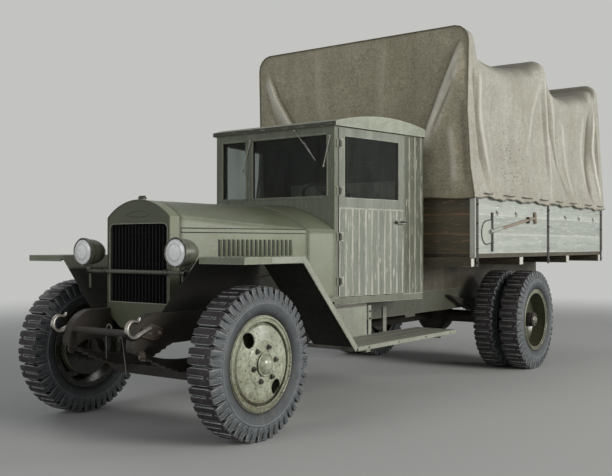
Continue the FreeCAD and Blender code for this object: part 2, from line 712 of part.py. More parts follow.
def front_wheel():
    centre = ("front_tyre", "axle_a", "tyre_radius")
    face = "front_dish"
    hub = turned("front_hub", [
        ("-(76)", "22 + gap"), ("-(76)", "drum_radius"), ("-(76) + drum_width", "drum_radius"),
        ("-(76) + drum_width", "hub_radius"), (face + " - disc_sheet / 2", "hub_radius"),
        (face + " + 8", "cap_radius + 6"), (face + " + 12", "cap_radius"), (face + " + 46", "0", "70", -1),
        (face + " - 20", "0"), (face + " - 20", "22 + gap"),
    ], "x", centre)
    holes = []
    for i, turn in enumerate(("hand_hole_turn", "hand_hole_turn + 180")):
        along = "hand_hole_place * cos((%s) * 1deg)" % turn
        up = "hand_hole_place * sin((%s) * 1deg)" % turn
        start = ("front_tyre", "axle_a + " + along, "tyre_radius + " + up)
        holes.append(cylinder("hand_hole_%d" % i, "x", start, "hand_hole", "front_dish + 20"))
    plate = cut("front_disc_cut", disc("front_disc", centre, face, face + " - 16"), holes)
    pair("tyre_front", placed("tyre_front_place", TYRE, centre))
    pair("wheel_front", fuse("front_wheel_piece", [rim("front_rim", centre), plate, hub]))


def rear_wheel():
    outer = ("outer_tyre", "axle_b", "tyre_radius")
    inner = ("inner_tyre", "axle_b", "tyre_radius")
    middle = ("rear_track / 2", "axle_b", "tyre_radius")
    tyre_outer = placed("tyre_rear_outer_place", TYRE, outer)
    tyre_inner = placed("tyre_rear_inner_place", TYRE, inner)
    hub = turned("rear_hub", [
        ("-(188)", "axle_tube + gap"), ("-(188)", "drum_radius"), ("-(188) + drum_width", "drum_radius"),
        ("-(188) + drum_width", "hub_radius + 20"), ("8", "hub_radius + 20"), ("8", "hub_radius"),
        ("104", "hub_radius - 12"), ("112", "0"), ("-(100)", "0"), ("-(100)", "axle_tube + gap"),
    ], "x", middle)
    pieces = [hub, rim("rear_rim_outer", outer), disc("rear_disc_outer", outer, "-126", "74"),
              rim("rear_rim_inner", inner), disc("rear_disc_inner", inner, "126", "74")]
    pair("tyres_rear", group("tyre_rear_pair", [tyre_outer, tyre_inner]))
    pair("wheel_rear", fuse("rear_wheel_piece", pieces))


# ---------------------------------------------------------------------------
# Radiator, bonnet, cowl, lamps
# ---------------------------------------------------------------------------
def radiator():
    face, back = "axle_a - shell_front", "axle_a - shell_front + shell_depth"
    between = "rail_half_front - rail_flange - gap"
    c = "grille_corner"
    outline = [
        ("shell_half", "rail_top + gap"), ("shell_half", "shell_shoulder"),
        ("-(shell_half)", "shell_shoulder", "shell_arch", 1),
        ("-(shell_half)", "rail_top + gap"), ("-(%s)" % between, "rail_top + gap"),
        ("-(%s)" % between, "grille_bottom - 95"), ("-(shell_half) + 122", "grille_bottom - 164"),
        ("shell_half - 122", "grille_bottom - 164"), (between, "grille_bottom - 95"),
        (between, "rail_top + gap"),
    ]
    opening = [
        ("grille_half", "grille_bottom"), ("grille_half", "grille_top - " + c),
        ("grille_half - " + c, "grille_top", c, 1), ("-(grille_half) + " + c, "grille_top"),
        ("-(grille_half)", "grille_top - " + c, c, 1), ("-(grille_half)", "grille_bottom"),
    ]
    shell = prism("shell_body", "XZ", [outline, opening], face, back)
    cap = cylinder("filler_cap", "z", ("0", "axle_a - shell_front + 36", "shell_crown - 4"), "24", "16")
    node("radiator_shell", fuse("shell_piece", [shell, cap]))
    pitch = "2 * (grille_half - gap) / slat_count"
    slats = []
    for i in range(int(size("slat_count"))):
        x = "-(grille_half - gap) + (%d + 0.5) * %s" % (i, pitch)
        slats.append(box("slat_%02d" % i, (x + " - slat / 2", x + " + slat / 2"),
                         (face + " + 8", face + " + 30"), ("grille_bottom + gap", "grille_top - gap - 8")))
    for i, place in enumerate(("grille_bottom + gap", "grille_top - 60", "grille_bottom + 240")):
        slats.append(box("slat_bar_%d" % i, ("-(grille_half - gap)", "grille_half - gap"),
                         (face + " + 24", face + " + 34"), (place, place + " + 14")))
    slats.append(box("core_block", ("-(grille_half - gap)", "grille_half - gap"),
                     (face + " + 34", back), ("grille_bottom + gap", "grille_top - 36")))
    node("radiator_grille", fuse("grille_piece", slats))


def bonnet():
    strip = "12"
    front, back = "hood_front + clearance", "hood_back - clearance"

    def section(name, half, arch, shoulder, low, at):
        start = strip + " + gap"
        return sketch(name, "XZ", [[
            (start, "hood_crown - sheet - 2"),
            ("%s - sheet" % half, shoulder + " - sheet / 2", arch + " - sheet", -1),
            ("%s - sheet" % half, low), (half, low), (half, shoulder),
            (start, "hood_crown - 2", arch, 1),
        ]], ("0", at, "0"))
    sections = [
        section("hood_section_a", "shell_half", "shell_arch", "shell_shoulder", "hood_low_front", front),
        section("hood_section_b", "cowl_half_front", "hood_arch", "hood_side_top", "hood_low_rear", back),
    ]
    pair("hood", loft("hood_piece", sections))
    return box("hood_strip", ("-(%s)" % strip, strip), ("hood_front + gap", "hood_back + 10"),
               ("hood_crown - sheet - 4", "hood_crown"))


def cowl():
    """Scuttle between bonnet and windscreen, with the bonnet's centre hinge on it."""
    strip = bonnet()

    def section(name, half, at, thick):
        return sketch(name, "XZ", [[
            (half + thick, "wall_low"), (half + thick, "hood_side_top"),
            ("-(%s)" % (half + thick), "hood_side_top", "hood_arch" + thick, 1),
            ("-(%s)" % (half + thick), "wall_low"),
        ]], ("0", at, "0"))
    front, back = "hood_back", "axle_a + screen - gap"
    outer = loft("cowl_outer", [section("cowl_a", "cowl_half_front", front, ""),
                                section("cowl_b", "cab_half", back, "")])
    inner = loft("cowl_inner", [section("cowl_c", "cowl_half_front", front + " + sheet", " - sheet"),
                                section("cowl_d", "cab_half", back + " + 1", " - sheet")])
    bind(inner, "Placement.Base.z", "-(sheet)")
    node("cowl", fuse("cowl_piece", [cut("cowl_shell", outer, [inner]), strip]))


def lamps():
    centre = ("lamp_half", "axle_a - lamp_front", "lamp_centre")
    bucket = turned("lamp_bucket", [
        ("0", "0"), ("0", "lamp_radius - 6"), ("6", "lamp_radius"), ("22", "lamp_radius"),
        ("26", "lamp_radius - 6"), ("60", "lamp_radius - 8"), ("lamp_depth", "24", "130", -1),
        ("lamp_depth", "0"),
    ], "y", centre)
    stem_y = "axle_a - lamp_front + 62"
    stem = cylinder("lamp_stem", "z", ("lamp_half", stem_y, "lamp_bar"), "11",
                    "lamp_centre - lamp_radius + 12 - lamp_bar")
    skin = "lamp_foot + gap"
    strut = cylinder("lamp_strut", "z", ("lamp_half", stem_y, skin), "10", "lamp_bar - (%s)" % skin)
    bar = cylinder("lamp_bar_rod", "x", ("-(lamp_half)", stem_y, "lamp_bar"), "13", "2 * lamp_half")
    left = fuse("lamp_left", [bucket, stem, strut])
    node("headlamps", fuse("lamp_piece", [bar, left, mirrored("lamp_right", left)]))


# ---------------------------------------------------------------------------
# Fenders and running boards
# ---------------------------------------------------------------------------
def fenders():
    nose, bend = "axle_a - fender_front", "axle_a + fender_back"
    foot = "axle_a + board_front"
    slope_y, slope_z = "(board_front - fender_back)", "(fender_top - board_top)"
    run = "sqrt(%s ^ 2 + %s ^ 2)" % (slope_y, slope_z)
    top = box("fender_plate", ("fender_inner", "fender_half"), (nose, bend),
              ("fender_top - sheet", "fender_top"))
    side = "fender_half - sheet"
    lip = box("fender_lip_side", (side, "fender_half"), (nose, bend),
              ("fender_top - fender_lip", "fender_top"))
    brow = box("fender_lip_front", ("fender_inner", "fender_half"), (nose, nose + " + sheet"),
               ("fender_top - fender_lip", "fender_top"))
    down = prism("fender_slope", "YZ", [[
        (bend, "fender_top"), (foot, "board_top"),
        (foot + " - sheet * %s / %s" % (slope_z, run), "board_top - sheet * %s / %s" % (slope_y, run)),
        (bend + " - sheet * %s / %s" % (slope_z, run), "fender_top - sheet * %s / %s" % (slope_y, run)),
    ]], "board_inner", "fender_half")
    edge = prism("fender_slope_lip", "YZ", [[
        (bend, "fender_top"), (foot, "board_top"),
        (foot + " - fender_lip * %s / %s" % (slope_z, run),
         "board_top - fender_lip * %s / %s" % (slope_y, run)),
        (bend + " - fender_lip / 2", "fender_top - fender_lip"),
    ]], side, "fender_half")
    lean_x, lean_z = "(fender_inner - fender_foot_half)", "(fender_top - fender_foot)"
    lean = "sqrt(%s ^ 2 + %s ^ 2)" % (lean_x, lean_z)
    skin = prism("fender_skin", "XZ", [[
        ("fender_inner", "fender_top"), ("fender_foot_half", "fender_foot"),
        ("fender_foot_half + sheet * %s / %s" % (lean_z, lean),
         "fender_foot - sheet * %s / %s" % (lean_x, lean)),
        ("fender_inner + sheet * %s / %s" % (lean_z, lean), "fender_top - sheet * %s / %s" % (lean_x, lean)),
    ]], nose, foot)
    under = prism("fender_under", "YZ", [[
        (nose, "fender_top"), (bend, "fender_top"), (foot, "board_top"), (nose, "board_top"),
    ]], "0", "fender_half")
    inner = common("fender_inner_panel", [skin, under])

    def apron(name, half, hood_edge, at):
        return sketch(name, "XZ", [[
            (half, "rail_top + gap"), (half, hood_edge + " - clearance"),
            (half + " - sheet", hood_edge + " - clearance"), (half + " - sheet", "rail_top + gap"),
        ]], ("0", at, "0"))
    side = loft("fender_apron", [
        apron("apron_front", "shell_half", "hood_low_front", "hood_front + gap"),
        apron("apron_rear", "cowl_half_front", "hood_low_rear", "hood_back - gap"),
    ])
    pair("fender", fuse("fender_piece", [top, lip, brow, down, edge, inner, side]))


def running_boards():
    front, back = "axle_a + board_front + gap", "axle_a + board_rear"
    low = "board_top - board_thick"
    third = "(fender_half - board_inner) / 3"
    deck = box("step_deck", ("board_inner", "fender_half"), (front, back), (low, "board_top"))
    grooves = []
    for i in (1, 2):
        middle = "board_inner + %s * %d" % (third, i)
        grooves.append(box("step_groove_%d" % i, (middle + " - 2", middle + " + 2"),
                           (front + " - 1", back + " + 1"), ("board_top - 4", "board_top + 1")))
    splash = box("splash_panel", ("board_inner - sheet", "board_inner"), (front, "axle_a + 1550"),
                 (low, "floor_low - cab_sill - gap"))
    arms = []
    for i, place in enumerate(("1000", "2080")):
        arms.append(box("step_arm_%d" % i, ("rail_half_rear - 30", "fender_half - 20"),
                        ("axle_a + " + place, "axle_a + %s + 50" % place), (low + " - 22", low)))
        arms.append(box("step_hanger_%d" % i, ("rail_half_rear + gap", "rail_half_rear + 10"),
                        ("axle_a + " + place, "axle_a + %s + 50" % place), (low, "rail_bottom + 90")))
    deck_cut = cut("step_boards", deck, grooves)
    pair("running_board", fuse("step_piece", [deck_cut, splash] + arms))


# ---------------------------------------------------------------------------
# Cab: pieces of the slanted side are drawn in the left side's own frame
# (outer face x = 0, y along the side from the windscreen) and then turned
# ---------------------------------------------------------------------------
def on_side(name, piece):
    """Carry a piece from the side's own frame to the cab's left side."""
    obj = group(name, [piece])
    obj.Placement = FreeCAD.Placement(Vector(), FreeCAD.Rotation(Vector(0, 0, 1), -size("cab_spread")))
    bind(obj, "Placement.Rotation.Angle", "cab_spread * -1")
    bind(obj, "Placement.Base.x", "cab_half")
    bind(obj, "Placement.Base.y", "axle_a + screen")
    return obj


def plank_grooves(name, start, end, low, high):
    """Joints between upright planks on the outer face, one every plank width."""
    count = int((size(end) - size(start)) / size("plank"))
    return [box("%s_%02d" % (name, i), ("-(2.5)", "1"),
                ("%s + plank * %d - groove / 2" % (start, i), "%s + plank * %d + groove / 2" % (start, i)),
                (low, high)) for i in range(1, count + 1)]


HINGE_HEIGHTS = (1891, 1545, 1213, 889)


def hinge_rows(name, make):
    """One solid at each of a door's four hinges."""
    return [make("%s_%d" % (name, i), str(height)) for i, height in enumerate(HINGE_HEIGHTS)]


def doors():
    panel = prism("door_panel", "YZ", [
        [("door_front", "door_bottom"), ("door_rear", "door_bottom"),
         ("door_rear", "door_top"), ("door_front", "door_top")],
        [("window_front", "window_bottom"), ("window_rear", "window_bottom"),
         ("window_rear", "window_top"), ("window_front", "window_top")],
    ], "-(cab_wall)", "0")
    lines = plank_grooves("door_joint", "door_front", "door_rear - 20", "door_bottom - 1", "plank_top")
    rail = box("door_joint_top", ("-(2.5)", "1"), ("door_front - 1", "door_rear + 1"),
               ("plank_top", "plank_top + groove"))
    door = cut("door_cut", panel, lines + [rail])
    handle = box("door_handle", ("0", "34"), ("door_rear - 100", "door_rear - 84"), ("1320", "1336"))
    grip = box("door_grip", ("20", "34"), ("door_rear - 100", "door_rear - 4"), ("1320", "1336"))
    leaves = hinge_rows("hinge_leaf", lambda name, z: box(
        name, ("0", "5"), ("door_front - clearance + hinge_radius + gap", "door_front + 45"),
        (z + " - hinge_length / 2", z + " + hinge_length / 2")))
    full = on_side("door_left_piece", fuse("door_shape", [door, handle, grip] + leaves))
    pane = box("door_pane", ("-(cab_wall) / 2 - glass / 2", "-(cab_wall) / 2 + glass / 2"),
               ("window_front + gap", "window_rear - gap"), ("window_bottom + gap", "window_top - gap"))
    pair("door", full)
    pair("door_glass", on_side("door_glass_piece", pane))


def cab_front():
    low, high = "wall_low", "roof_bottom - gap"
    panes = [("screen_half", "post_left"), ("post_right", "-(screen_half)")]
    outline = [("-(cab_half)", low), ("cab_half", low), ("cab_half", high), ("-(cab_half)", high)]
    holes = [[(a, "window_bottom"), (a, "window_top + 18"), (b, "window_top + 18"), (b, "window_bottom")]
             for a, b in panes]
    legs = [("-(cab_half) + 60", low + " - 1"), ("-(cab_half) + 60", "hood_side_top - 30"),
            ("cab_half - 60", "hood_side_top - 30"), ("cab_half - 60", low + " - 1")]
    front, back = "axle_a + screen", "axle_a + screen + cab_wall"
    wall = cut("front_wall", prism("front_sheet", "XZ", [outline] + holes, front, back),
               [prism("front_legs", "XZ", [legs], front + " - 1", back + " + 1")])
    post = box("post_block", ("-(cab_wall)", "0"), ("8", "door_front - clearance"), (low, high))
    barrels = hinge_rows("hinge_barrel", lambda name, z: cylinder(
        name, "z", ("hinge_radius + 1", "door_front - clearance", z + " - hinge_length / 2"),
        "hinge_radius", "hinge_length"))
    plates = hinge_rows("hinge_plate", lambda name, z: box(
        name, ("-(1)", "hinge_radius + 1"), ("16", "door_front - clearance"),
        (z + " - hinge_length / 2", z + " + hinge_length / 2")))
    post = on_side("post_turned", fuse("post_piece", [post] + barrels + plates))
    dash = box("instrument_board", ("-(cab_half) + 64", "cab_half - 64"), (back, back + " + 30"),
               ("hood_side_top + 10", "screen_base - 40"))
    node("windscreen_frame", fuse("front_piece", [wall, dash, post, mirrored("post_other", post)]))
    middle = "axle_a + screen + cab_wall / 2"
    glass = []
    for i, (a, b) in enumerate(panes):
        glass.append(box("screen_pane_%d" % i, (b + " + gap", a + " - gap"),
                         (middle + " - glass / 2", middle + " + glass / 2"),
                         ("window_bottom + gap", "window_top + 18 - gap")))
    back_middle = "axle_a + cab_back - cab_wall / 2"
    glass.append(box("rear_pane", ("-(rear_window_half) + gap", "rear_window_half - gap"),
                     (back_middle + " - glass / 2", back_middle + " + glass / 2"),
                     ("rear_window_low + gap", "rear_window_high - gap")))
    node("cab_glass", group("cab_panes", glass))


def cab_rear():
    start = "door_rear + clearance"
    quarter = box("quarter_block", ("-(cab_wall)", "0"), (start, "cab_side"),
                  ("wall_low", "roof_bottom - gap"))
    lines = plank_grooves("quarter_joint", start, "cab_side - 20", "wall_low - 1", "roof_bottom + 1")
    turned_quarter = on_side("quarter_turned", cut("quarter_cut", quarter, lines))
    x, y = "side_end_half", "side_end"
    wall_x = "cab_wall * cos(cab_spread * 1deg)"
    wall_y = "cab_wall * sin(cab_spread * 1deg)"
    corner = prism("corner_post", "XY", [[
        (x, y), ("cab_back_half", "axle_a + cab_back", "110", 1),
        ("cab_back_half", "axle_a + cab_back - cab_wall"),
        ("%s - %s" % (x, wall_x), "%s + %s" % (y, wall_y)),
    ]], "wall_low", "roof_bottom - gap")
    pair("cab_quarter", fuse("quarter_piece", [turned_quarter, corner]))
    back = prism("back_panel", "XZ", [
        [("-(cab_back_half) + gap", "wall_low"), ("cab_back_half - gap", "wall_low"),
         ("cab_back_half - gap", "roof_bottom - gap"), ("-(cab_back_half) + gap", "roof_bottom - gap")],
        [("-(rear_window_half)", "rear_window_low"), ("rear_window_half", "rear_window_low"),
         ("rear_window_half", "rear_window_high"), ("-(rear_window_half)", "rear_window_high")],
    ], "axle_a + cab_back - cab_wall", "axle_a + cab_back")
    node("cab_rear_wall", back)


def cab_floor_and_roof():
    x, y = "side_end_half", "side_end"
    half = [("cowl_half_front", "hood_back"), ("cab_half", "axle_a + screen"), (x, y),
            ("cab_back_half", "axle_a + cab_back")]
    plan = half + [("-(%s)" % u, v) for u, v in reversed(half)]
    board = prism("floor_board", "XY", [plan], "floor_low", "cab_floor")
    sill = on_side("sill_turned", box("sill_block", ("-(cab_wall)", "0"), ("0", "cab_side"),
                                      ("floor_low - cab_sill", "floor_low")))
    node("cab_floor", fuse("floor_piece", [board, sill, mirrored("sill_other", sill)]))
    over = "roof_overhang"
    edge = [
        ("cab_half + " + over, "axle_a + screen - 18"),
        ("%s + %s" % (x, over), y), ("cab_back_half + " + over, "axle_a + cab_back + " + over),
    ]
    plan = prism("roof_plan", "XY", [edge + [("-(%s)" % u, v) for u, v in reversed(edge)]],
                 "roof_bottom", "roof_crown + 40")
    start, end = "axle_a + screen - 18", "axle_a + cab_back + " + over
    arch = prism("roof_arch", "YZ", [[
        (start, "roof_bottom - 1"), (end, "roof_bottom - 1"), (end, "roof_front"),
        (start, "roof_front", "2050", 1),
    ]], "-(cab_half) - 400", "cab_half + 400")
    node("cab_roof", common("roof_piece", [plan, arch]))


def seat():
    front, back = "axle_a + seat_front", "axle_a + cab_back - cab_wall - 90"
    under = "seat_top - seat_thick"
    node("seat_box", box("seat_base", ("-(seat_half) + 20", "seat_half - 20"), (front + " + 20", back),
                         ("wall_low", under + " - gap")))
    pad = box("seat_pad", ("-(seat_half)", "seat_half"), (front, back), (under, "seat_top"))
    rest = box("seat_rest", ("-(seat_half)", "seat_half"),
               (back + " + gap", "axle_a + cab_back - cab_wall - gap"), (under, "seat_back_top"))
    node("seat_cushions", group("seat_set", [pad, rest]))


def controls():
    """Steering column, wheel and instrument board."""
    tilt = math.radians(size("column_tilt"))
    hub = Vector(size("column_half"), size("axle_a + screen + 330"), size("window_bottom"))
    along = Vector(0, math.sin(tilt), math.cos(tilt))
    radius = size("column_radius")
    foot_height = size("wall_low") + radius * math.sin(tilt)
    length = (hub.z - foot_height) / along.z
    column = Part.makeCylinder(radius, length - size("wheel_boss") - size("gap"), hub - along * length, along)
    node("steering_column", shape_piece("column_shape", column))
    radius = size("wheel_radius")
    ring = Part.makeTorus(radius, size("wheel_grip"), hub, along)
    boss_size = size("wheel_boss")
    boss = Part.makeCylinder(boss_size, boss_size, hub - along * boss_size, along)
    spokes = []
    for turn in (0, 90, 180, 270):
        out = Vector(1, 0, 0)
        rotation = FreeCAD.Rotation(along, turn)
        start = hub - along * size("wheel_spoke") * 1.25
        spokes.append(Part.makeCylinder(size("wheel_spoke"), radius, start, rotation.multVec(out)))
    wheel = ring.fuse([boss] + spokes)
    node("steering_wheel", shape_piece("wheel_shape", wheel))


# ---------------------------------------------------------------------------
# Bed
# ---------------------------------------------------------------------------
def bed():
    front, back = "axle_a + bed_front", "bed_rear"
    sill = box("long_timber", ("rail_half_rear - sill_width", "rail_half_rear"),
               (front + " - 60", "axle_a + rail_rear"), ("sill_bottom + gap", "beam_under"))
    # y ahead of each beam from the front axle, width along the truck
    rows = [("bed_front - 82", "60"), ("3250", "80"), ("4440", "80"), ("rail_rear", "70")]
    beams = [box("bed_beam_%d" % i, ("-(bed_half)", "bed_half"),
                 ("axle_a + " + y, "axle_a + %s + %s" % (y, w)),
                 ("beam_under + gap", "bed_bottom")) for i, (y, w) in enumerate(rows)]
    node("bed_frame", group("bed_frame_set", beams + [sill, mirrored("long_timber_right", sill)]))
    deck = box("bed_deck", ("-(bed_half)", "bed_half"), (front, back + " - gap"),
               ("bed_bottom + gap", "floor_top"))
    wall_z = ("floor_top + gap", "bed_top")
    board = box("front_board_blank", ("-(bed_half)", "bed_half"), (front, front + " + board_wall"), wall_z)
    joints = ["floor_top + (bed_top - floor_top) / 3", "floor_top + (bed_top - floor_top) * 2 / 3"]
    cuts = [box("front_joint_%d" % i, ("-(bed_half) - 1", "bed_half + 1"), (front + " - 1", front + " + 3"),
                (z + " - groove / 2", z + " + groove / 2")) for i, z in enumerate(joints)]
    node("bed_front_board", cut("front_board", board, cuts))
    side = box("side_board_blank", ("bed_half - board_wall", "bed_half"),
               (front + " + board_wall + gap", "bed_rear - clearance"), wall_z)
    cuts = [box("side_joint_%d" % i, ("bed_half - 3", "bed_half + 1"), (front, "bed_rear + 1"),
                (z + " - groove / 2", z + " + groove / 2")) for i, z in enumerate(joints)]
    pair("bed_side", cut("side_board", side, cuts))
    irons = [box("side_iron_%d" % i, ("bed_half + gap", "bed_half + iron"),
                 (y + " - iron_width / 2", y + " + iron_width / 2"), ("beam_under + gap", "cover_hem - 3"))
             for i, y in enumerate(("axle_a + bed_front + 24", "axle_a + 3940", "bed_rear - 32"))]
    left = group("iron_set", irons)
    node("side_irons", group("iron_sets", [left, mirrored("iron_set_right", left)]))
    gate = box("gate_blank", ("-(bed_half)", "bed_half"),
               ("bed_rear", "tail"), ("floor_top + clearance", "bed_top"))
    cuts = [box("gate_joint_%d" % i, ("-(bed_half) - 1", "bed_half + 1"), ("tail - 3", "tail + 1"),
                (z + " - groove / 2", z + " + groove / 2")) for i, z in enumerate(joints)]
    straps, brackets = [], []
    for i, x in enumerate(("-(bed_half) * 0.7", "-(gate_strap) / 2", "bed_half * 0.7 - gate_strap")):
        wide = (x, x + " + gate_strap")
        straps.append(box("gate_strap_%d" % i, wide, ("tail", "tail + 5"),
                          ("gate_axis + gate_hinge + gap", "bed_top - 60")))
        pin = cylinder("gate_pin_%d" % i, "x", (x, "tail", "gate_axis"), "gate_hinge", "gate_strap")
        arm = box("gate_arm_%d" % i, wide, ("bed_rear - gap", "tail"),
                  ("gate_axis - gate_hinge", "floor_top"))
        brackets += [pin, arm]
    node("tailgate", fuse("gate_piece", [cut("gate_board", gate, cuts)] + straps))
    node("bed_floor", fuse("bed_floor_piece", [deck] + brackets))


def hoop_places():
    """Front edge of each hoop, from the front axle."""
    first = "bed_front + board_wall + gap"
    last = "(bed_rear - axle_a) - clearance - gap - hoop_depth"
    return [first, "((%s) + (%s)) / 2" % (first, last), last]


def hoops():
    """Bows that carry the cover, standing in the bed at three places."""
    bows = []
    base = "floor_top + gap"
    flat = "cover_half_top"
    centre = "cover_top - cover_corner"
    for i, y in enumerate(hoop_places()):
        outer = "cover_corner - cover_thick - gap"
        inner = outer + " - hoop_thick"
        bows.append(prism("hoop_%d" % i, "XZ", [[
            ("%s + %s" % (flat, outer), base), ("%s + %s" % (flat, outer), centre),
            (flat, "%s + %s" % (centre, outer), outer, 1), ("-(%s)" % flat, "%s + %s" % (centre, outer)),
            ("-(%s) - (%s)" % (flat, outer), centre, outer, 1), ("-(%s) - (%s)" % (flat, outer), base),
            ("-(%s) - (%s)" % (flat, inner), base), ("-(%s) - (%s)" % (flat, inner), centre),
            ("-(%s)" % flat, "%s + %s" % (centre, inner), inner, -1), (flat, "%s + %s" % (centre, inner)),
            ("%s + %s" % (flat, inner), centre, inner, -1), ("%s + %s" % (flat, inner), base),
        ]], "axle_a + " + y, "axle_a + %s + hoop_depth" % y))
    node("cover_hoops", group("hoop_set", bows))


def cover():
    """Canvas cover: hung over the hoops, sagging between them, closed in front, open behind."""
    def section(name, y, sag, inset):
        corner = "cover_corner + cover_round * %s" % sag
        centre = "cover_top - cover_sag * %s - (%s)" % (sag, corner)
        flat = "cover_half_top - cover_round * %s" % sag
        radius = "%s - %s" % (corner, inset)
        low = "cover_hem" if inset == "0" else "cover_hem - 10"
        hem, side, top = "cover_half_hem - " + inset, "%s + %s" % (flat, radius), "%s + %s" % (centre, radius)
        waist, middle = "(%s + %s) / 2 - cover_pull * %s" % (hem, side, sag), "(cover_hem + %s) / 2" % centre
        return sketch(name, "XZ", [[
            (hem, low), (waist, middle), (side, centre), (flat, top, radius, 1), ("-(%s)" % flat, top),
            ("-(%s)" % side, centre, radius, 1), ("-(%s)" % waist, middle), ("-(%s)" % hem, low),
        ]], ("0", y, "0"))
    first, second, third = ("axle_a + " + place for place in hoop_places())
    # each bay: its start, its end, and how deep it sags at shares of its length
    bays = [
        (first + " + hoop_depth", second, ((0.08, 0.85), (0.30, 1.0), (0.62, 1.0), (0.86, 0.8))),
        (second + " + hoop_depth", third,
         ((0.10, 0.6), (0.28, 1.0), (0.46, 1.05), (0.70, 0.85), (0.90, 0.45))),
    ]
    stations = [("axle_a + cover_front", 0)]
    for start, end, drops in bays:
        stations.append((start, 0))
        for share, drop in drops:
            stations.append(("%s + ((%s) - (%s)) * %s" % (start, end, start, share), drop))
        stations.append((end, 0))
    stations.append(("tail", 0))
    outer = [section("cover_out_%d" % i, y, sag, "0") for i, (y, sag) in enumerate(stations)]
    stations[0] = ("axle_a + cover_front + cover_thick", 0)
    stations[-1] = ("tail + 5", 0)
    inner = [section("cover_in_%d" % i, y, sag, "cover_thick") for i, (y, sag) in enumerate(stations)]
    node("cargo_cover", cut("cover_piece", loft("cover_outer", outer), [loft("cover_inner", inner)]))


def shovel():
    """Spade strapped to the left side board, blade forward and a little lower than its grip."""
    blade = prism("shovel_blade", "YZ", [[
        ("150", "-(95)"), ("150", "95"), ("12", "95"), ("12", "-(95)", "180", 1),
    ]], "0", "7")
    shaft = cylinder("shovel_shaft", "y", ("13", "120", "0"), "11", "shovel_length - 120")
    knob = box("shovel_grip", ("2", "24"), ("shovel_length - 22", "shovel_length"), ("-(55)", "55"))
    spade = fuse("shovel_piece", [blade, shaft, knob])
    spade.Placement = FreeCAD.Placement(Vector(), FreeCAD.Rotation(Vector(1, 0, 0), size("shovel_tilt")))
    bind(spade, "Placement.Rotation.Angle", "shovel_tilt")
    bind(spade, "Placement.Base.x", "bed_half + gap")
    bind(spade, "Placement.Base.y", "axle_a + shovel_front")
    bind(spade, "Placement.Base.z", "shovel_height")
    node("shovel", spade)


# ---------------------------------------------------------------------------
# Build, check, write
# ---------------------------------------------------------------------------
for make in (frame_rails, crossmembers, tow_hooks, springs, front_axle, rear_axle, engine, knuckles,
             front_wheel, rear_wheel, radiator, cowl, lamps, fenders, running_boards, doors,
             cab_front, cab_rear, cab_floor_and_roof, seat, controls, bed, hoops, cover, shovel):
    make()

doc.recompute()
for item in doc.Objects:
    if "Invalid" in item.State or "Error" in item.State:
        raise RuntimeError("%s failed: %s" % (item.Name, item.State))
for item in NODES:
    if item.Shape.isNull() or not item.Shape.isValid():
        raise RuntimeError("%s has no valid shape" % item.Label)

os.makedirs("parts", exist_ok=True)
for item in NODES:
    item.Shape.exportStep("parts/%s.step" % item.Label)
print("%d pieces written" % len(NODES))
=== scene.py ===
import math

import bpy
from mathutils import Matrix, Vector, noise


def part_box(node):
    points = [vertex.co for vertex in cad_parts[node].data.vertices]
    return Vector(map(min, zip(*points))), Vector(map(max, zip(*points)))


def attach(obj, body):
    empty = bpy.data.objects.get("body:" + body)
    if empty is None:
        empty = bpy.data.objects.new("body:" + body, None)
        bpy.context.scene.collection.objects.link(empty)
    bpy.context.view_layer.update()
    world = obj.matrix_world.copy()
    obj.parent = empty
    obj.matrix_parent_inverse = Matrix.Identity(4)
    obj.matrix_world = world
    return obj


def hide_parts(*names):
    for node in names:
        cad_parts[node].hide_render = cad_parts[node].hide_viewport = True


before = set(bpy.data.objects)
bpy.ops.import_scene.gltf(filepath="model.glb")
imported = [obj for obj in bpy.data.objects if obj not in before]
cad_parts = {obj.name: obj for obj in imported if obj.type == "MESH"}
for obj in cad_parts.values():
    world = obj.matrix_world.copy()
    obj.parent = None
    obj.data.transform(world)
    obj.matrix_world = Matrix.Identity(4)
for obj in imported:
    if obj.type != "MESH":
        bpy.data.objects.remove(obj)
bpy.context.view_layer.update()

# ---- Studio ------------------------------------------------------------------
# A pale painted floor that runs without a line into a pale wall, one wide soft
# lamp low on the truck's left with a smaller one behind it, and two weaker ones.


def colour(text):
    """An sRGB hex value as the linear colour that a socket takes."""
    parts = [int(text[i:i + 2], 16) / 255 for i in (1, 3, 5)]
    return tuple(v / 12.92 if v <= 0.04045 else ((v + 0.055) / 1.055) ** 2.4 for v in parts) + (1,)


def add(tree, kind, inputs=(), **settings):
    """Adds a node of a kind, or kind.operation, with its settings. Inputs go by name or in order. Each takes
    a value, a hex colour, a socket, or a node, which stands for its first output."""
    kind, _, operation = kind.partition(".")
    node = tree.nodes.new("ShaderNode" + kind)
    if operation:
        node.operation = operation
    for name, value in settings.items():
        setattr(node, name, value)
    for socket, value in inputs.items() if isinstance(inputs, dict) else enumerate(inputs):
        if isinstance(value, bpy.types.Node):
            value = value.outputs[0]
        if isinstance(value, bpy.types.NodeSocket):
            tree.links.new(value, node.inputs[socket])
        else:
            node.inputs[socket].default_value = colour(value) if isinstance(value, str) else value
    return node


def blank_material(name):
    """A material with an empty node tree, and that tree."""
    material = bpy.data.materials.new(name)
    material.use_nodes = True
    material.node_tree.nodes.clear()
    return material, material.node_tree


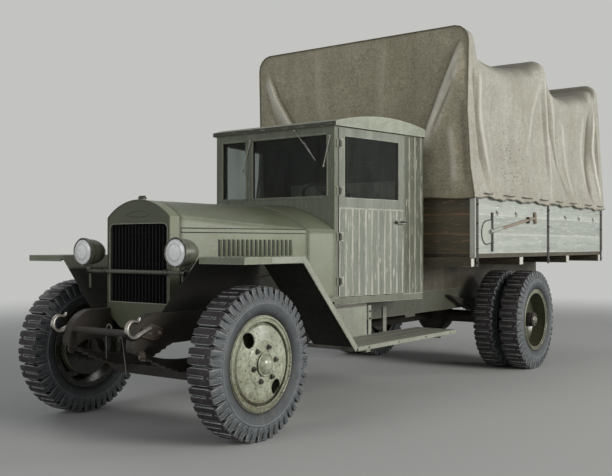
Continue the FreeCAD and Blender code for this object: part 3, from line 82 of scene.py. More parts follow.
wall_tone = "#c3c4c1"
world = bpy.data.worlds.new("Studio air")
bpy.context.scene.world = world
world.use_nodes = True
air = world.node_tree
air.nodes.clear()
seen = add(air, "LightPath")
direct = add(air, "Math.MAXIMUM", [seen.outputs["Is Camera Ray"], seen.outputs["Is Transmission Ray"]])
direct = add(air, "Math.MAXIMUM", [direct, seen.outputs["Is Glossy Ray"]])
soft = add(air, "Background", {"Color": "#e4e6ea", "Strength": 0.33})
pale = add(air, "Background", {"Color": wall_tone, "Strength": 1.0})
both = add(air, "MixShader", [direct, soft, pale])
add(air, "OutputWorld", {"Surface": both})

# Matt floor paint: near the truck it takes light and shadow, far off it turns into the wall.
floor_paint, tree = blank_material("Studio floor paint")
place = add(tree, "TexCoord").outputs["Object"]
away = add(tree, "VectorMath.LENGTH", [place]).outputs["Value"]
far = add(tree, "MapRange", [away, 6.0, 13.0], interpolation_type="SMOOTHSTEP")
matt = add(tree, "BsdfDiffuse", {"Color": "#b9bab7"})
glow = add(tree, "Emission", {"Color": wall_tone})
blended = add(tree, "MixShader", [far, matt, glow])
add(tree, "OutputMaterial", {"Surface": blended})
bpy.ops.object.select_all(action="DESELECT")
bpy.ops.mesh.primitive_circle_add(vertices=96, radius=90, fill_type="NGON", location=(0, 0, -0.001))
floor = bpy.context.object
floor.name = "studio_floor"
floor.data.materials.append(floor_paint)

lamps = (
        ("key_lamp", (15.0, -0.8, 5.0), (0.2, 0.2, 1.3), 6.5, 1780, "#fffdf9"),
        ("side_lamp", (13.5, 12.5, 3.8), (0.6, -0.8, 0.9), 3.8, 640, "#fbfbfa"),
        ("front_lamp", (-1.8, -14.5, 4.2), (0, -1.0, 1.4), 4.5, 290, "#f7f7f7"),
        ("back_lamp", (-14.0, 1.2, 6.0), (0, 0.4, 1.4), 6.0, 420, "#f4f6fa"))
for name, spot, aim, size, power, tint in lamps:
    light = bpy.data.lights.new(name, "AREA")
    light.shape = "DISK"
    light.size = size
    light.energy = power
    light.color = colour(tint)[:3]
    lamp = bpy.data.objects.new(name, light)
    bpy.context.scene.collection.objects.link(lamp)
    lamp.location = spot
    lamp.rotation_euler = (Vector(aim) - Vector(spot)).to_track_quat("-Z", "Y").to_euler()

# the view is from the left front, a little below eye height, with a normal lens
yaw, pitch = math.radians(36.257), math.radians(0.456)
look = Vector((-math.sin(yaw) * math.cos(pitch), math.cos(yaw) * math.cos(pitch), math.sin(pitch)))
lens = bpy.data.cameras.new("view")
lens.lens = 50
lens.sensor_width = 36
camera = bpy.data.objects.new("view", lens)
bpy.context.scene.collection.objects.link(camera)
camera.location = (4.0206, -6.3788, 1.1553)
camera.rotation_euler = look.to_track_quat("-Z", "Y").to_euler()
bpy.context.scene.camera = camera
bpy.context.scene.view_settings.view_transform = "Standard"

# ---- Frame rails, crossmembers and axles -------------------------------------
# Pressed channel steel, riveted, and forged axles under it. All of it is
# brushed with black chassis enamel, long since rusted and dulled by road dust.


def dress(material, *names):
    """Gives CAD nodes their finish."""
    for name in names:
        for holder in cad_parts[name].material_slots:
            holder.material = material


def worn_edges(tree, radius, breaks):
    """Where a piece's outer corners are rubbed, broken up by a pattern: 0 on faces, 1 on bare corners."""
    rounded = add(tree, "Bevel", {"Radius": radius}, samples=6)
    flat = add(tree, "NewGeometry").outputs["Normal"]
    alike = add(tree, "VectorMath.DOT_PRODUCT", [rounded, flat]).outputs["Value"]
    corner = add(tree, "MapRange", [alike, 0.99, 0.86])
    return add(tree, "Math.MULTIPLY", [corner, breaks])


def blotches(tree, place, millimetres, low, high, detail=5.0, roughness=0.6, squeeze=(1, 1, 1)):
    """Soft irregular patches about that size: 0 below low, 1 above high."""
    at = add(tree, "Mapping", {"Vector": place, "Scale": squeeze})
    noise = add(tree, "TexNoise",
            {"Vector": at, "Scale": 1000 / millimetres, "Detail": detail, "Roughness": roughness})
    return add(tree, "MapRange", [noise, low, high])


def coated(tree, base, *coats):
    """Lays coats over a base colour in turn: each is its colour, then the masks and shares that thin it."""
    for over, share, *more in coats:
        for factor in more:
            share = add(tree, "Math.MULTIPLY", [share, factor])
        base = add(tree, "Mix", {0: share, 6: base, 7: over}, data_type="RGBA").outputs[2]
    return base


def surfaced(tree, base, rough, height, strength, distance, normal=None, **more):
    """Ends a material with one shader. The height lifts its surface over the normal, if one is given. More
    are the shader's other values, with a line in place of each space in a name."""
    bump = add(tree, "Bump", {"Strength": strength, "Distance": distance, "Height": height})
    if normal:
        tree.links.new(normal, bump.inputs["Normal"])
    others = {name.replace("_", " "): value for name, value in more.items()}
    shader = add(tree, "BsdfPrincipled", {"Base Color": base, "Roughness": rough, "Normal": bump, **others})
    add(tree, "OutputMaterial", {"Surface": shader})


def turned(tree, frame_of, aim):
    """How far a face is turned down, or in towards the truck's middle line: 0 to 1, in its own frame."""
    normal = add(tree, "SeparateXYZ", [frame_of.outputs["Normal"]])
    if aim == "down":
        return add(tree, "MapRange", [normal.outputs["Z"], -0.05, -0.25])
    across = add(tree, "SeparateXYZ", [frame_of.outputs["Object"]]).outputs["X"]
    side = add(tree, "Math.SIGN", [across])
    outward = add(tree, "Math.MULTIPLY", [side, normal.outputs["X"]])
    return add(tree, "MapRange", [outward, -0.1, -0.35])


def enamel(name, paint, faded, under, dust, wear=0.6, soil=0.5, gloss=0.42, metal=0.0, grit=0.35, underseal_and_shade=None,
        facing_shade=None, soft=0.0, splashed=False):
    """Air-dried oil enamel over steel: it fades in patches, wears through at corners and holds dust low down.
    Faces turned down or in are black with old underseal and grease, and with painted shade. Facing shade is
    painted shade: faces turned along a side's axis darken; it gives the axis, where it starts, where it is
    full, its colour and share. Soft rounds the shading over a wide radius. Shaded under fender paints near
    black shade on the hood behind the wheel, under the fender's top."""
    material, tree = blank_material(name)
    frame_of = add(tree, "TexCoord")
    place = frame_of.outputs["Object"]
    wide = blotches(tree, place, 420, 0.38, 0.66)
    small = blotches(tree, place, 38, 0.45, 0.62)
    specks = blotches(tree, place, 9, 0.6, 0.68, detail=3.0)
    breaks = blotches(tree, place, 26, 0.4, 0.56)
    # road dust: thick below the axle line, thin above the hood
    height = add(tree, "SeparateXYZ", [place]).outputs["Z"]
    low = add(tree, "MapRange", [height, 1.15, 0.35, 0.05, 1.0])
    dusty = add(tree, "Math.MULTIPLY", [low, blotches(tree, place, 160, 0.3, 0.62)])
    dusty = add(tree, "Math.MULTIPLY", [dusty, soil])
    base = coated(tree, paint, (faded, wide), (faded, small, 0.22), (dust, dusty), (under, specks, grit),
            (under, worn_edges(tree, 0.007, breaks), wear))
    rough = add(tree, "MapRange", [wide, 0, 1, gloss, gloss + 0.16])
    rough = add(tree, "Math.ADD", [rough, dusty], use_clamp=True)
    # faces turned down or in: black underseal and grease, with painted shade
    if underseal_and_shade:
        seal_and_shade = turned(tree, frame_of, underseal_and_shade)
        seal_and_shade_colour = coated(tree, "#0e0d0c", ("#1a1815", small))
        base = coated(tree, base, (seal_and_shade_colour, seal_and_shade, 0.96))
        rough = add(tree, "Math.MAXIMUM", [rough, seal_and_shade])
    # painted shade: faces turned along the side's axis take a darker colour
    if facing_shade:
        axis, start, full, tone, share = facing_shade
        normal = frame_of.outputs["Normal"]
        if soft:
            round_normal = add(tree, "Bevel", {"Radius": soft}, samples=8)
            normal = add(tree, "VectorTransform", [round_normal], vector_type="NORMAL", convert_from="WORLD",
                    convert_to="OBJECT")
        facing = add(tree, "SeparateXYZ", [normal]).outputs[axis]
        facing = add(tree, "MapRange", [facing, start, full, 0.0, share])
        base = coated(tree, base, (tone, facing))
    # painted shade, near black, on the hood behind the wheel under the fender's top
    if splashed:
        across, along, up = add(tree, "SeparateXYZ", [place]).outputs
        behind = add(tree, "MapRange", [along, -1.82, -1.87])
        inside = add(tree, "MapRange", [add(tree, "Math.ABSOLUTE", [across]), 0.56, 0.54])
        below = add(tree, "MapRange", [up, 1.062, 1.05, 0.0, 0.96])
        splash = add(tree, "Math.MULTIPLY", [behind, add(tree, "Math.MULTIPLY", [inside, below])])
        base = coated(tree, base, ("#15130f", splash))
        rough = add(tree, "Math.MAXIMUM", [rough, splash])
    normal = add(tree, "Bevel", {"Radius": soft}, samples=8).outputs["Normal"] if soft else None
    surfaced(tree, base, rough, small, 0.18, 0.002, normal, Metallic=metal)
    return material


# Black chassis enamel: charcoal brown, with rust at the corners and clay dust below.
chassis_enamel = enamel("Black chassis enamel", "#1f1c19", "#2d2824", "#74624f", "#40372c", wear=0.75,
        soil=0.35, gloss=0.44)
dress(chassis_enamel, "crossmembers")
# The rails were brushed olive with the body; from the axle to the horns that is lost to rust and oil.
rail_enamel = enamel("Olive-black rail enamel", "#3b3e33", "#4a4d41", "#7c7565", "#4f483b", wear=0.8,
        soil=0.3, gloss=0.46)
tree = rail_enamel.node_tree
shader = next(node for node in tree.nodes if node.type == "BSDF_PRINCIPLED")
place = add(tree, "SeparateXYZ", [add(tree, "TexCoord").outputs["Object"]])
ahead = add(tree, "MapRange", [place.outputs["Y"], -1.7, -2.2, 0.0, 0.85])
tree.links.new(coated(tree, shader.inputs["Base Color"].links[0].from_socket, ("#2a221d", ahead)),
        shader.inputs["Base Color"])
dress(rail_enamel, "frame_rails")
# Forged and cast steel, oily and dusty: nearly black, with brighter rubbed corners.
oily_steel = enamel("Oily forged steel", "#191714", "#24211d", "#6b645c", "#352e25", wear=0.8,
        soil=0.4, gloss=0.42)
dress(oily_steel, "front_springs", "rear_springs", "front_axle", "rear_axle", "engine_block", "knuckle_left",
        "knuckle_right", "tie_rod")

# ---- Tyres -------------------------------------------------------------------
# Bias-ply rubber, moulded in one piece: a bulging carcass with twenty-five
# bars across the tread, each cut half through by a slot and notched at its shoulders.


def only(piece):
    """Makes one piece the selected and active one."""
    bpy.ops.object.select_all(action="DESELECT")
    piece.select_set(True)
    bpy.context.view_layer.objects.active = piece


def opened(piece):
    """Opens one piece for editing, with all of it selected."""
    only(piece)
    bpy.ops.object.mode_set(mode="EDIT")
    bpy.ops.mesh.select_all(action="SELECT")


def welded():
    """Makes points at one place one in the open piece, and leaves all of it selected."""
    bpy.ops.mesh.select_all(action="SELECT")
    bpy.ops.mesh.remove_doubles(threshold=0.00001)
    bpy.ops.mesh.select_all(action="SELECT")


def named(piece, name):
    """A piece closed to editing, with its name."""
    bpy.ops.object.mode_set(mode="OBJECT")
    piece.name = piece.data.name = name
    return piece


def traced(name, points):
    """A line of edges drawn by extruding one point from place to place."""
    bpy.ops.object.select_all(action="DESELECT")
    bpy.ops.mesh.primitive_plane_add(size=0.001, location=points[0])
    bpy.ops.object.transform_apply()
    opened(bpy.context.object)
    bpy.ops.mesh.merge(type="CENTER")
    for start, end in zip(points, points[1:]):
        bpy.ops.mesh.extrude_region_move(TRANSFORM_OT_translate={"value": Vector(end) - Vector(start)})
    return named(bpy.context.object, name)


def spun(name, outline, steps):
    """A closed outline of (x, radius) points turned round the X axis."""
    piece = traced(name, [(x, 0, radius) for x, radius in outline + outline[:1]])
    opened(piece)
    welded()
    bpy.ops.mesh.spin(steps=steps, angle=2 * math.pi, center=(0, 0, 0), axis=(1, 0, 0))
    welded()
    bpy.ops.mesh.normals_make_consistent(inside=False)
    return named(piece, name)


def raised(name, outline, steps, edge=0.0, rows=1):
    """A flat outline filled and drawn out by one or more (move, scale) steps, then its edges eased."""
    piece = traced(name, outline + outline[:1])
    opened(piece)
    welded()
    bpy.ops.mesh.edge_face_add()
    for move, scale in steps:
        bpy.ops.mesh.extrude_region_move(TRANSFORM_OT_translate={"value": move})
        if scale != (1, 1, 1):
            bpy.ops.transform.resize(value=scale, center_override=(0, 0, 0))
    bpy.ops.mesh.select_all(action="SELECT")
    bpy.ops.mesh.normals_make_consistent(inside=False)
    if edge:
        bpy.ops.mesh.bevel(offset=edge, segments=rows, affect="EDGES", clamp_overlap=True)
    return named(piece, name)


def copied(piece, move, name="copy"):
    """A copy with its own mesh, moved by a matrix."""
    twin = piece.copy()
    twin.data = piece.data.copy()
    bpy.context.scene.collection.objects.link(twin)
    twin.data.transform(move)
    if move.determinant() < 0:
        twin.data.flip_normals()
    twin.name = twin.data.name = name
    return twin


def joined(name, pieces):
    """Several pieces as one."""
    bpy.ops.object.select_all(action="DESELECT")
    for piece in pieces:
        piece.select_set(True)
    bpy.context.view_layer.objects.active = pieces[0]
    if len(pieces) > 1:
        bpy.ops.object.join()
    return named(pieces[0], name)


def settled(piece, material, body, smooth=35):
    """Gives a finished piece its material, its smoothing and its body."""
    only(piece)
    bpy.ops.object.shade_smooth_by_angle(angle=math.radians(smooth))
    piece.data.materials.clear()
    piece.data.materials.append(material)
    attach(piece, body)
    return piece


def discarded(*pieces):
    """Takes away pieces that were only there to be copied."""
    for piece in pieces:
        bpy.data.objects.remove(piece)


# how a piece made on the left is laid on each side
both_sides = (("left", Matrix.Identity(4)), ("right", Matrix.Scale(-1, 4, (1, 0, 0))))
front_axle_y, rear_axle_y, axle_z = -2.5, 1.31, 0.455
# half of the carcass's section, bead to crown, as (x, radius)
half = [(0.0767, 0.263), (0.0775, 0.286), (0.083, 0.292), (0.0925, 0.306), (0.0975, 0.326), (0.1, 0.346),
        (0.1012, 0.3555), (0.1032, 0.3575), (0.1032, 0.3605), (0.1008, 0.3625), (0.0965, 0.378),
        (0.087, 0.402), (0.076, 0.421), (0.055, 0.4275), (0.028, 0.4295)]
carcass = spun("tyre_carcass", half + [(-x, r) for x, r in reversed(half)], 100)
# a bar, drawn at the bottom of the tyre: its half length round the tyre in the middle and at the tips, and
# the slotted crown and the notched foot, as (x, y)
bar, tip, bars_round = 0.05, 0.041, 25
crown = [(-0.085, -tip), (-0.052, -bar), (0.052, -bar), (0.085, -tip), (0.085, -0.008), (0.061, 0.0),
        (0.085, 0.008), (0.085, tip), (0.052, bar), (-0.052, bar), (-0.085, tip), (-0.085, 0.0058),
        (0.028, 0.0044), (0.033, 0.0), (0.028, -0.0044), (-0.085, -0.0058)]
foot = [(-0.0868, -tip), (-0.052, -bar), (0.052, -bar), (0.0868, -tip), (0.0868, -0.0085), (0.072, 0.0),
        (0.0868, 0.0085), (0.0868, tip), (0.052, bar), (-0.052, bar), (-0.0868, tip), (-0.0868, 0.0085),
        (-0.072, 0.0), (-0.0868, -0.0085)]
top_half = raised("bar_crown", [(x, y, -0.4548) for x, y in crown],
        [((0, 0, 0.0115), (1.02, 1, 1))], 0.0022, 2)
low_half = raised("bar_foot", [(x, y, -0.444) for x, y in foot], [((0, 0, 0.02), (1.045, 0.985, 1)),
        ((0, 0, 0.024), (1.06, 0.975, 1)), ((0, 0, 0.029), (1.03, 0.97, 1))], 0.003, 2)
bars = [joined("bar", [top_half, low_half])]
bar_turn = 2 * math.pi / bars_round
bars += [copied(bars[0], Matrix.Rotation(bar_turn * i, 4, "X")) for i in range(1, bars_round)]
tyre = joined("tyre", bars + [carcass])
# where a point lies in the tyre's section: across it, out from the axle, and round from its bar's middle line
section = tyre.data.attributes.new("section", "FLOAT_VECTOR", "POINT")
for point, value in zip(tyre.data.vertices, section.data):
    turn = math.atan2(point.co.y, -point.co.z) / bar_turn
    value.vector = (point.co.x, math.hypot(point.co.y, point.co.z), (turn - round(turn)) * bar_turn * axle_z)

# Weathered natural rubber: the crown is brown-black where the road scrubs it, the sides
# bloom to a dusty blue-grey, and the foot of each bar holds clay.
rubber, tree = blank_material("Weathered tyre rubber")
place = add(tree, "TexCoord").outputs["Object"]
signed = add(tree, "Attribute", attribute_name="section").outputs["Vector"]
abreast, out, beside = add(tree, "SeparateXYZ", [add(tree, "VectorMath.ABSOLUTE", [signed])]).outputs
tread = add(tree, "MapRange", [out, 0.436, 0.448])
shoulder = add(tree, "MapRange", [abreast, 0.0845, 0.088])
crown_only = add(tree, "Math.SUBTRACT", [tread, shoulder], use_clamp=True)
# painted shade: the sidewall darkens towards the rim, and is near black deep between the bars and at the bead
rimward = add(tree, "MapRange", [out, 0.348, 0.29])
deep = add(tree, "MapRange", [abreast, 0.0855, 0.078])
# between the bars' shoulders, away from the light, the rubber stays nearly black
cleft = add(tree, "MapRange", [out, 0.366, 0.384])
skin = add(tree, "MapRange", [out, 0.374, 0.424, 0.1015, 0.0885])
sunk = add(tree, "Math.SUBTRACT", [skin, abreast])
sunk = add(tree, "MapRange", [sunk, 0.0025, 0.0055])
cleft = add(tree, "Math.MULTIPLY", [cleft, sunk])
bloom = coated(tree, "#3d4244", ("#4e5356", blotches(tree, place, 70, 0.35, 0.65)), ("#1f2123", rimward),
        ("#141212", deep), ("#141313", cleft))
scrubbed = coated(tree, "#1f1b1c", ("#2f292a", blotches(tree, place, 30, 0.4, 0.62)))
# painted highlights on the bars' rounded corners
edge_highlights = worn_edges(tree, 0.006, blotches(tree, place, 20, 0.2, 0.4))
# painted highlights: pale lines along the bars' edges, along their slots and round their notches
breaks = blotches(tree, place, 16, 0.34, 0.5)
crest = add(tree, "MapRange", [out, 0.45, 0.4525])
long_edge = add(tree, "MapRange", [beside, 0.0445, 0.0475])
slot_edge = add(tree, "MapRange", [beside, 0.01, 0.0075])
slotted = add(tree, "MapRange", [add(tree, "SeparateXYZ", [signed]).outputs["X"], 0.04, 0.034])
slot_edge = add(tree, "Math.MULTIPLY", [slot_edge, slotted])
lines = add(tree, "Math.MAXIMUM", [long_edge, slot_edge])
lines = add(tree, "Math.MULTIPLY", [lines, crest])
lip = add(tree, "MapRange", [out, 0.395, 0.445])
lip = add(tree, "Math.MULTIPLY", [lip, shoulder])
tip_edge = add(tree, "MapRange", [beside, 0.036, 0.041])
lip = add(tree, "Math.MULTIPLY", [lip, tip_edge])
lines = add(tree, "Math.MAXIMUM", [lines, lip])
lines = add(tree, "Math.MULTIPLY", [lines, breaks])
base = coated(tree, bloom, (scrubbed, crown_only), ("#6d6a64", blotches(tree, place, 55, 0.55, 0.72), 0.3),
        ("#96989a", edge_highlights), ("#a9abac", lines, 0.8))
grain = add(tree, "TexNoise", {"Vector": place, "Scale": 160.0, "Detail": 4.0})
surfaced(tree, base, 0.62, grain, 0.3, 0.0015)

for side, flip in both_sides:
    front = copied(tyre, flip @ Matrix.Translation((0.7725, front_axle_y, axle_z)),
            "tread_tyre_front_" + side)
    settled(front, rubber, "front_wheel_" + side, 32)
    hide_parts("tyre_front_" + side)
    twins = [copied(tyre, flip @ Matrix.Translation((x, rear_axle_y, axle_z))) for x in (0.9635, 0.7115)]
    rear = settled(joined("tread_tyres_rear_" + side, twins), rubber, "rear_wheels_" + side, 32)
    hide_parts("tyres_rear_" + side)
discarded(tyre)

# ---- Wheels ------------------------------------------------------------------
# Pressed steel discs riveted into rims with a loose side ring, six nuts and a
# turned hub cap. Brushed olive over grey, rusting where the tyre iron has been.
# Rust is thickest on the rims and low down; the faces that look at the truck are black with grease and
# painted shade.
wheel_enamel, tree = blank_material("Chipped olive wheel enamel")
frame_of = add(tree, "TexCoord")
place = frame_of.outputs["Object"]
across, lengthwise, height = add(tree, "SeparateXYZ", [place]).outputs
# how far a point is along and up from the nearer axle
along = add(tree, "Math.ADD", [lengthwise, -(front_axle_y + rear_axle_y) / 2])
along = add(tree, "Math.SUBTRACT", [add(tree, "Math.ABSOLUTE", [along]), (rear_axle_y - front_axle_y) / 2])
up = add(tree, "Math.SUBTRACT", [height, axle_z])
ray = add(tree, "CombineXYZ", [along, up])
reach = add(tree, "VectorMath.LENGTH", [ray]).outputs["Value"]
rimward = add(tree, "MapRange", [reach, 0.16, 0.25, 0.25, 1.0])
lower = add(tree, "MapRange", [up, 0.1, -0.2, 0.25, 1.0])
where = add(tree, "Math.MULTIPLY", [rimward, lower])
outer = add(tree, "MapRange", [reach, 0.185, 0.24, 0.0, 0.55])
chips = add(tree, "Math.MULTIPLY", [blotches(tree, place, 17, 0.5, 0.6, detail=6.0, roughness=0.7), where])
pits = add(tree, "Math.MULTIPLY",
        [blotches(tree, place, 15, 0.585, 0.62, detail=5.0), add(tree, "MapRange", [lower, 0, 1, 0.45, 1.0])])
bared = add(tree, "Math.MULTIPLY", [blotches(tree, place, 12, 0.6, 0.66, detail=4.0), 0.5])
# the rear discs lie deep in their rims, where painted shade darkens them
abreast = add(tree, "Math.ABSOLUTE", [across])
recess_shade = add(tree, "MapRange", [abreast, 1.06, 1.03, 0.3, 0.8])
behind = add(tree, "Math.GREATER_THAN", [lengthwise, 0.0])
base = coated(tree, "#858a75", ("#b3b7a3", blotches(tree, place, 150, 0.36, 0.66)), ("#4c4f39", outer, lower),
        ("#565a45", blotches(tree, place, 30, 0.42, 0.6), 0.35), ("#5a4430", chips, 0.95), ("#3a3126", pits),
        ("#b9bba9", bared), ("#c3c3af", worn_edges(tree, 0.005, blotches(tree, place, 22, 0.38, 0.55)), 0.75),
        ("#1b1a16", turned(tree, frame_of, "in"), 0.95), ("#33341f", recess_shade, behind))
rough = add(tree, "MapRange", [chips, 0, 1, 0.2, 0.75])
surfaced(tree, base, rough, pits, 0.3, 0.0015)
dress(wheel_enamel, "wheel_front_left", "wheel_front_right", "wheel_rear_left", "wheel_rear_right")


def rod(name, start, end, radius, sides=16, edge=0.0):
    """A round bar from one point to another, its rims eased."""
    start, end = Vector(start), Vector(end)
    turn = (end - start).to_track_quat("Z", "Y").to_euler()
    bpy.ops.object.select_all(action="DESELECT")
    bpy.ops.mesh.primitive_cylinder_add(vertices=sides, radius=radius, depth=(end - start).length,
            location=(start + end) / 2, rotation=turn)
    bpy.ops.object.transform_apply()
    piece = bpy.context.object
    if edge:
        opened(piece)
        bpy.ops.mesh.bevel(offset=edge, segments=1, affect="EDGES", clamp_overlap=True)
    return named(piece, name)


def nut(name, at, out, across, height):
    """A six-sided nut on its washer and stud, on the face at a point and facing along out."""
    at, out = Vector(at), Vector(out).normalized()
    washer = rod(name, at, at + out * height * 0.2, across * 0.68, 14, 0.0006)
    body = rod(name, at, at + out * height, across * 0.577, 6, across * 0.05)
    stud = rod(name, at, at + out * height * 1.5, across * 0.28, 10, across * 0.05)
    return joined(name, [body, washer, stud])


def hoops(axle_y, *rings):
    """Round rings about an axle line, each as (x, radius, thickness)."""
    pieces = []
    for x, radius, thick in rings:
        bpy.ops.object.select_all(action="DESELECT")
        bpy.ops.mesh.primitive_torus_add(location=(x, axle_y, axle_z), rotation=(0, math.pi / 2, 0),
                major_radius=radius, minor_radius=thick, major_segments=72, minor_segments=8)
        bpy.ops.object.transform_apply()
        pieces.append(bpy.context.object)
    return joined("rings", pieces)


def paired(*parts):
    """Settles copies of pieces on the left, then their mirror images on the right, and takes the pieces away.
    A part is a piece with its name, material, body, finish and smoothing. A body's name that ends in a line
    takes the side's name after it. The finish is not used."""
    for side, flip in both_sides:
        for piece, name, material, body, finish, smooth in parts:
            twin = copied(piece, flip, name + "_" + side)
            settled(twin, material, body + side if body.endswith("_") else body, smooth)
    discarded(*[part[0] for part in parts])


# Dark phosphated nuts, greasy, with bright corners.
nut_steel = enamel("Phosphated nut steel", "#1f1e1b", "#2c2a26", "#8b857a", "#4c443a", wear=0.9, soil=0.2,
        gloss=0.38, metal=0.4)
# Turned steel caps, rubbed bright by the wheel spanner.
hub_steel = enamel("Rubbed hub steel", "#67635a", "#7c776d", "#cfcbc0", "#4c443a", wear=1.0, soil=0.2,
        gloss=0.3, metal=0.3)


def nut_ring(axle, reach, across, height):
    """Six nuts in a ring round an axle line, facing out to the left."""
    turns = [math.radians(10 + 60 * i) for i in range(6)]
    return [nut("nut", Vector(axle) + Vector((0, math.cos(turn) * reach, math.sin(turn) * reach)), (1, 0, 0),
            across, height) for turn in turns]


front_nuts = joined("nuts", nut_ring((0.8725, front_axle_y, axle_z), 0.104, 0.026, 0.016))
rear_nuts = joined("nuts", nut_ring((0.8395, rear_axle_y, axle_z), 0.104, 0.026, 0.02)
        + nut_ring((1.0355, rear_axle_y, axle_z), 0.043, 0.014, 0.007))
# each wheel's loose side ring, its rim's well and its hub's collar
front_rings = hoops(front_axle_y, (0.8565, 0.2745, 0.0075), (0.853, 0.2525, 0.005), (0.8825, 0.0665, 0.004))
rear_rings = hoops(rear_axle_y, (1.0475, 0.2745, 0.0075), (1.044, 0.2525, 0.005), (0.925, 0.0545, 0.005))
# the rear axle's outer hub: a turned barrel and its bolted cap, out to the plane of the rim
barrel = spun("barrel", [(0.932, 0.0), (0.932, 0.066), (1.01, 0.066), (1.016, 0.0615), (1.024, 0.0615),
        (1.026, 0.0655), (1.033, 0.0655), (1.0355, 0.063), (1.0355, 0.0)], 40)
cap = spun("cap", [(1.035, 0.0), (1.035, 0.034), (1.0385, 0.031), (1.0405, 0.024), (1.0415, 0.0)], 32)
cap = joined("cap", [cap, nut("nut", (1.0395, 0, 0), (1, 0, 0), 0.034, 0.012)])
for piece in (barrel, cap):
    piece.data.transform(Matrix.Translation((0, rear_axle_y, axle_z)))
paired(
        (front_nuts, "wheel_nuts_front", nut_steel, "front_wheel_", "dark_steel", 25),
        (front_rings, "wheel_rings_front", wheel_enamel, "front_wheel_", "wheel_paint", 60),
        (rear_nuts, "wheel_nuts_rear", nut_steel, "rear_wheels_", "dark_steel", 25),
        (barrel, "wheel_hub_rear", oily_steel, "rear_wheels_", "dark_steel", 35),
        (cap, "wheel_hub_cap_rear", hub_steel, "rear_wheels_", "dark_steel", 35),
        (rear_rings, "wheel_rings_rear", wheel_enamel, "rear_wheels_", "wheel_paint", 60))

# ---- Radiator ----------------------------------------------------------------
# A pressed steel shell round a finned core behind upright shutters. The shell is
# body olive with a rolled edge; shutters and core are matt black.
# Satin oil enamel: a cold pale sheen on the sides, and painted shade: a darker olive where the hood turns up,
# near black under the fender's top.
body_enamel = enamel("Satin olive body enamel", "#6c725c", "#7e8470", "#b1b39f", "#857d69", wear=0.6,
        soil=0.3, gloss=0.32, grit=0.05, facing_shade=("Z", 0.62, 0.98, "#3a3e2a", 0.8), soft=0.04, splashed=True)
dress(body_enamel, "hood_left", "hood_right", "cowl")
# The same enamel on pressings that are too small for the broad shades of the body.
pressing_enamel = enamel("Olive enamel on pressings", "#6c725c", "#7e8470", "#b1b39f", "#857d69", wear=0.6,
        soil=0.3, gloss=0.34, grit=0.05)
# A darker olive on the shell, with painted shade darker still on its front.
shell_enamel = enamel("Dark olive shell enamel", "#666b56", "#747963", "#a7aa94", "#5c5645", wear=0.7,
        soil=0.3, gloss=0.32, grit=0.1, facing_shade=("Y", -0.5, -0.9, "#3a3e2b", 0.7), soft=0.012)
dress(shell_enamel, "radiator_shell")
# Heat-proof lacquer with no gloss left, drawn darker than any paint as painted shade: the shutters look like
# one black opening.
shutter_black = enamel("Matt black shutter lacquer", "#040405", "#070808", "#101110", "#100e0c", wear=0.2,
        soil=0.08, gloss=0.84, grit=0.1)
dress(shutter_black, "radiator_grille")


def slab(name, low, high, edge=0.003, rows=1):
    """A board or plate between two corners, its edges eased."""
    low, high = Vector(low), Vector(high)
    bpy.ops.object.select_all(action="DESELECT")
    bpy.ops.mesh.primitive_cube_add(size=1, location=(low + high) / 2, scale=high - low)
    bpy.ops.object.transform_apply()
    opened(bpy.context.object)
    bpy.ops.mesh.bevel(offset=edge, segments=rows, affect="EDGES", clamp_overlap=True)
    return named(bpy.context.object, name)


def wire(name, points, radius, sides=8, closed=False):
    """Round wire or bead along points: the line is drawn, made a curve with that thickness, and meshed."""
    piece = traced(name, list(points) + ([points[0]] if closed else []))
    if closed:
        opened(piece)
        welded()
        bpy.ops.object.mode_set(mode="OBJECT")
    only(piece)
    bpy.ops.object.convert(target="CURVE")
    line = bpy.context.object.data
    line.bevel_depth = radius
    line.bevel_resolution = max(0, sides // 4 - 1)
    line.use_fill_caps = True
    bpy.ops.object.convert(target="MESH")
    return named(bpy.context.object, name)


face_y = -2.687
arch = [math.radians(-42.0 + 84.0 * step / 16) for step in range(1, 16)]
arch = [(0.4205 * math.sin(angle), face_y, 1.0175 + 0.4205 * math.cos(angle)) for angle in arch]
posts = [(x, face_y, z) for x, z in ((-0.2815, 0.7), (-0.2815, 1.329), (0.2815, 1.329), (0.2815, 0.7))]
trim = [wire("shell_bead", posts[:2] + arch + posts[2:], 0.004)]
opening = [(0.2625, 0.79), (0.2625, 1.258), (0.252, 1.28), (0.23, 1.289)]
opening = [(-x, z) for x, z in opening] + opening[::-1]
lip = wire("opening_bead", [(x, face_y, z) for x, z in opening], 0.0035, closed=True)
# Plate rubbed bare round the opening by the winter muff.
rubbed_lip = enamel("Rubbed olive lip", "#868b78", "#9a9f8c", "#c9cab9", "#5c5645", wear=0.8,
        soil=0.1, gloss=0.36)
settled(named(lip, "shell_opening_lip"), rubbed_lip, "chassis", 60)
# the maker's place on the shell is left as a bare pressed lozenge
lozenge = ((-0.115, 1.345), (-0.05, 1.33), (0.05, 1.33), (0.115, 1.345), (0.03, 1.368), (-0.03, 1.368))
trim.append(wire("bare_badge_edge", [(x, face_y, z) for x, z in lozenge], 0.0022, closed=True))
settled(joined("shell_trim", trim), shell_enamel, "chassis", 60)
cap = rod("cap", (0, -2.651, 1.446), (0, -2.651, 1.457), 0.029, 8, 0.003)
neck = rod("neck", (0, -2.651, 1.43), (0, -2.651, 1.448), 0.019, 20, 0.001)
grip = slab("grip", (-0.03, -2.655, 1.4565), (0.03, -2.647, 1.466), 0.002)
settled(joined("filler_cap_top", [cap, neck, grip]), oily_steel, "chassis", 30)

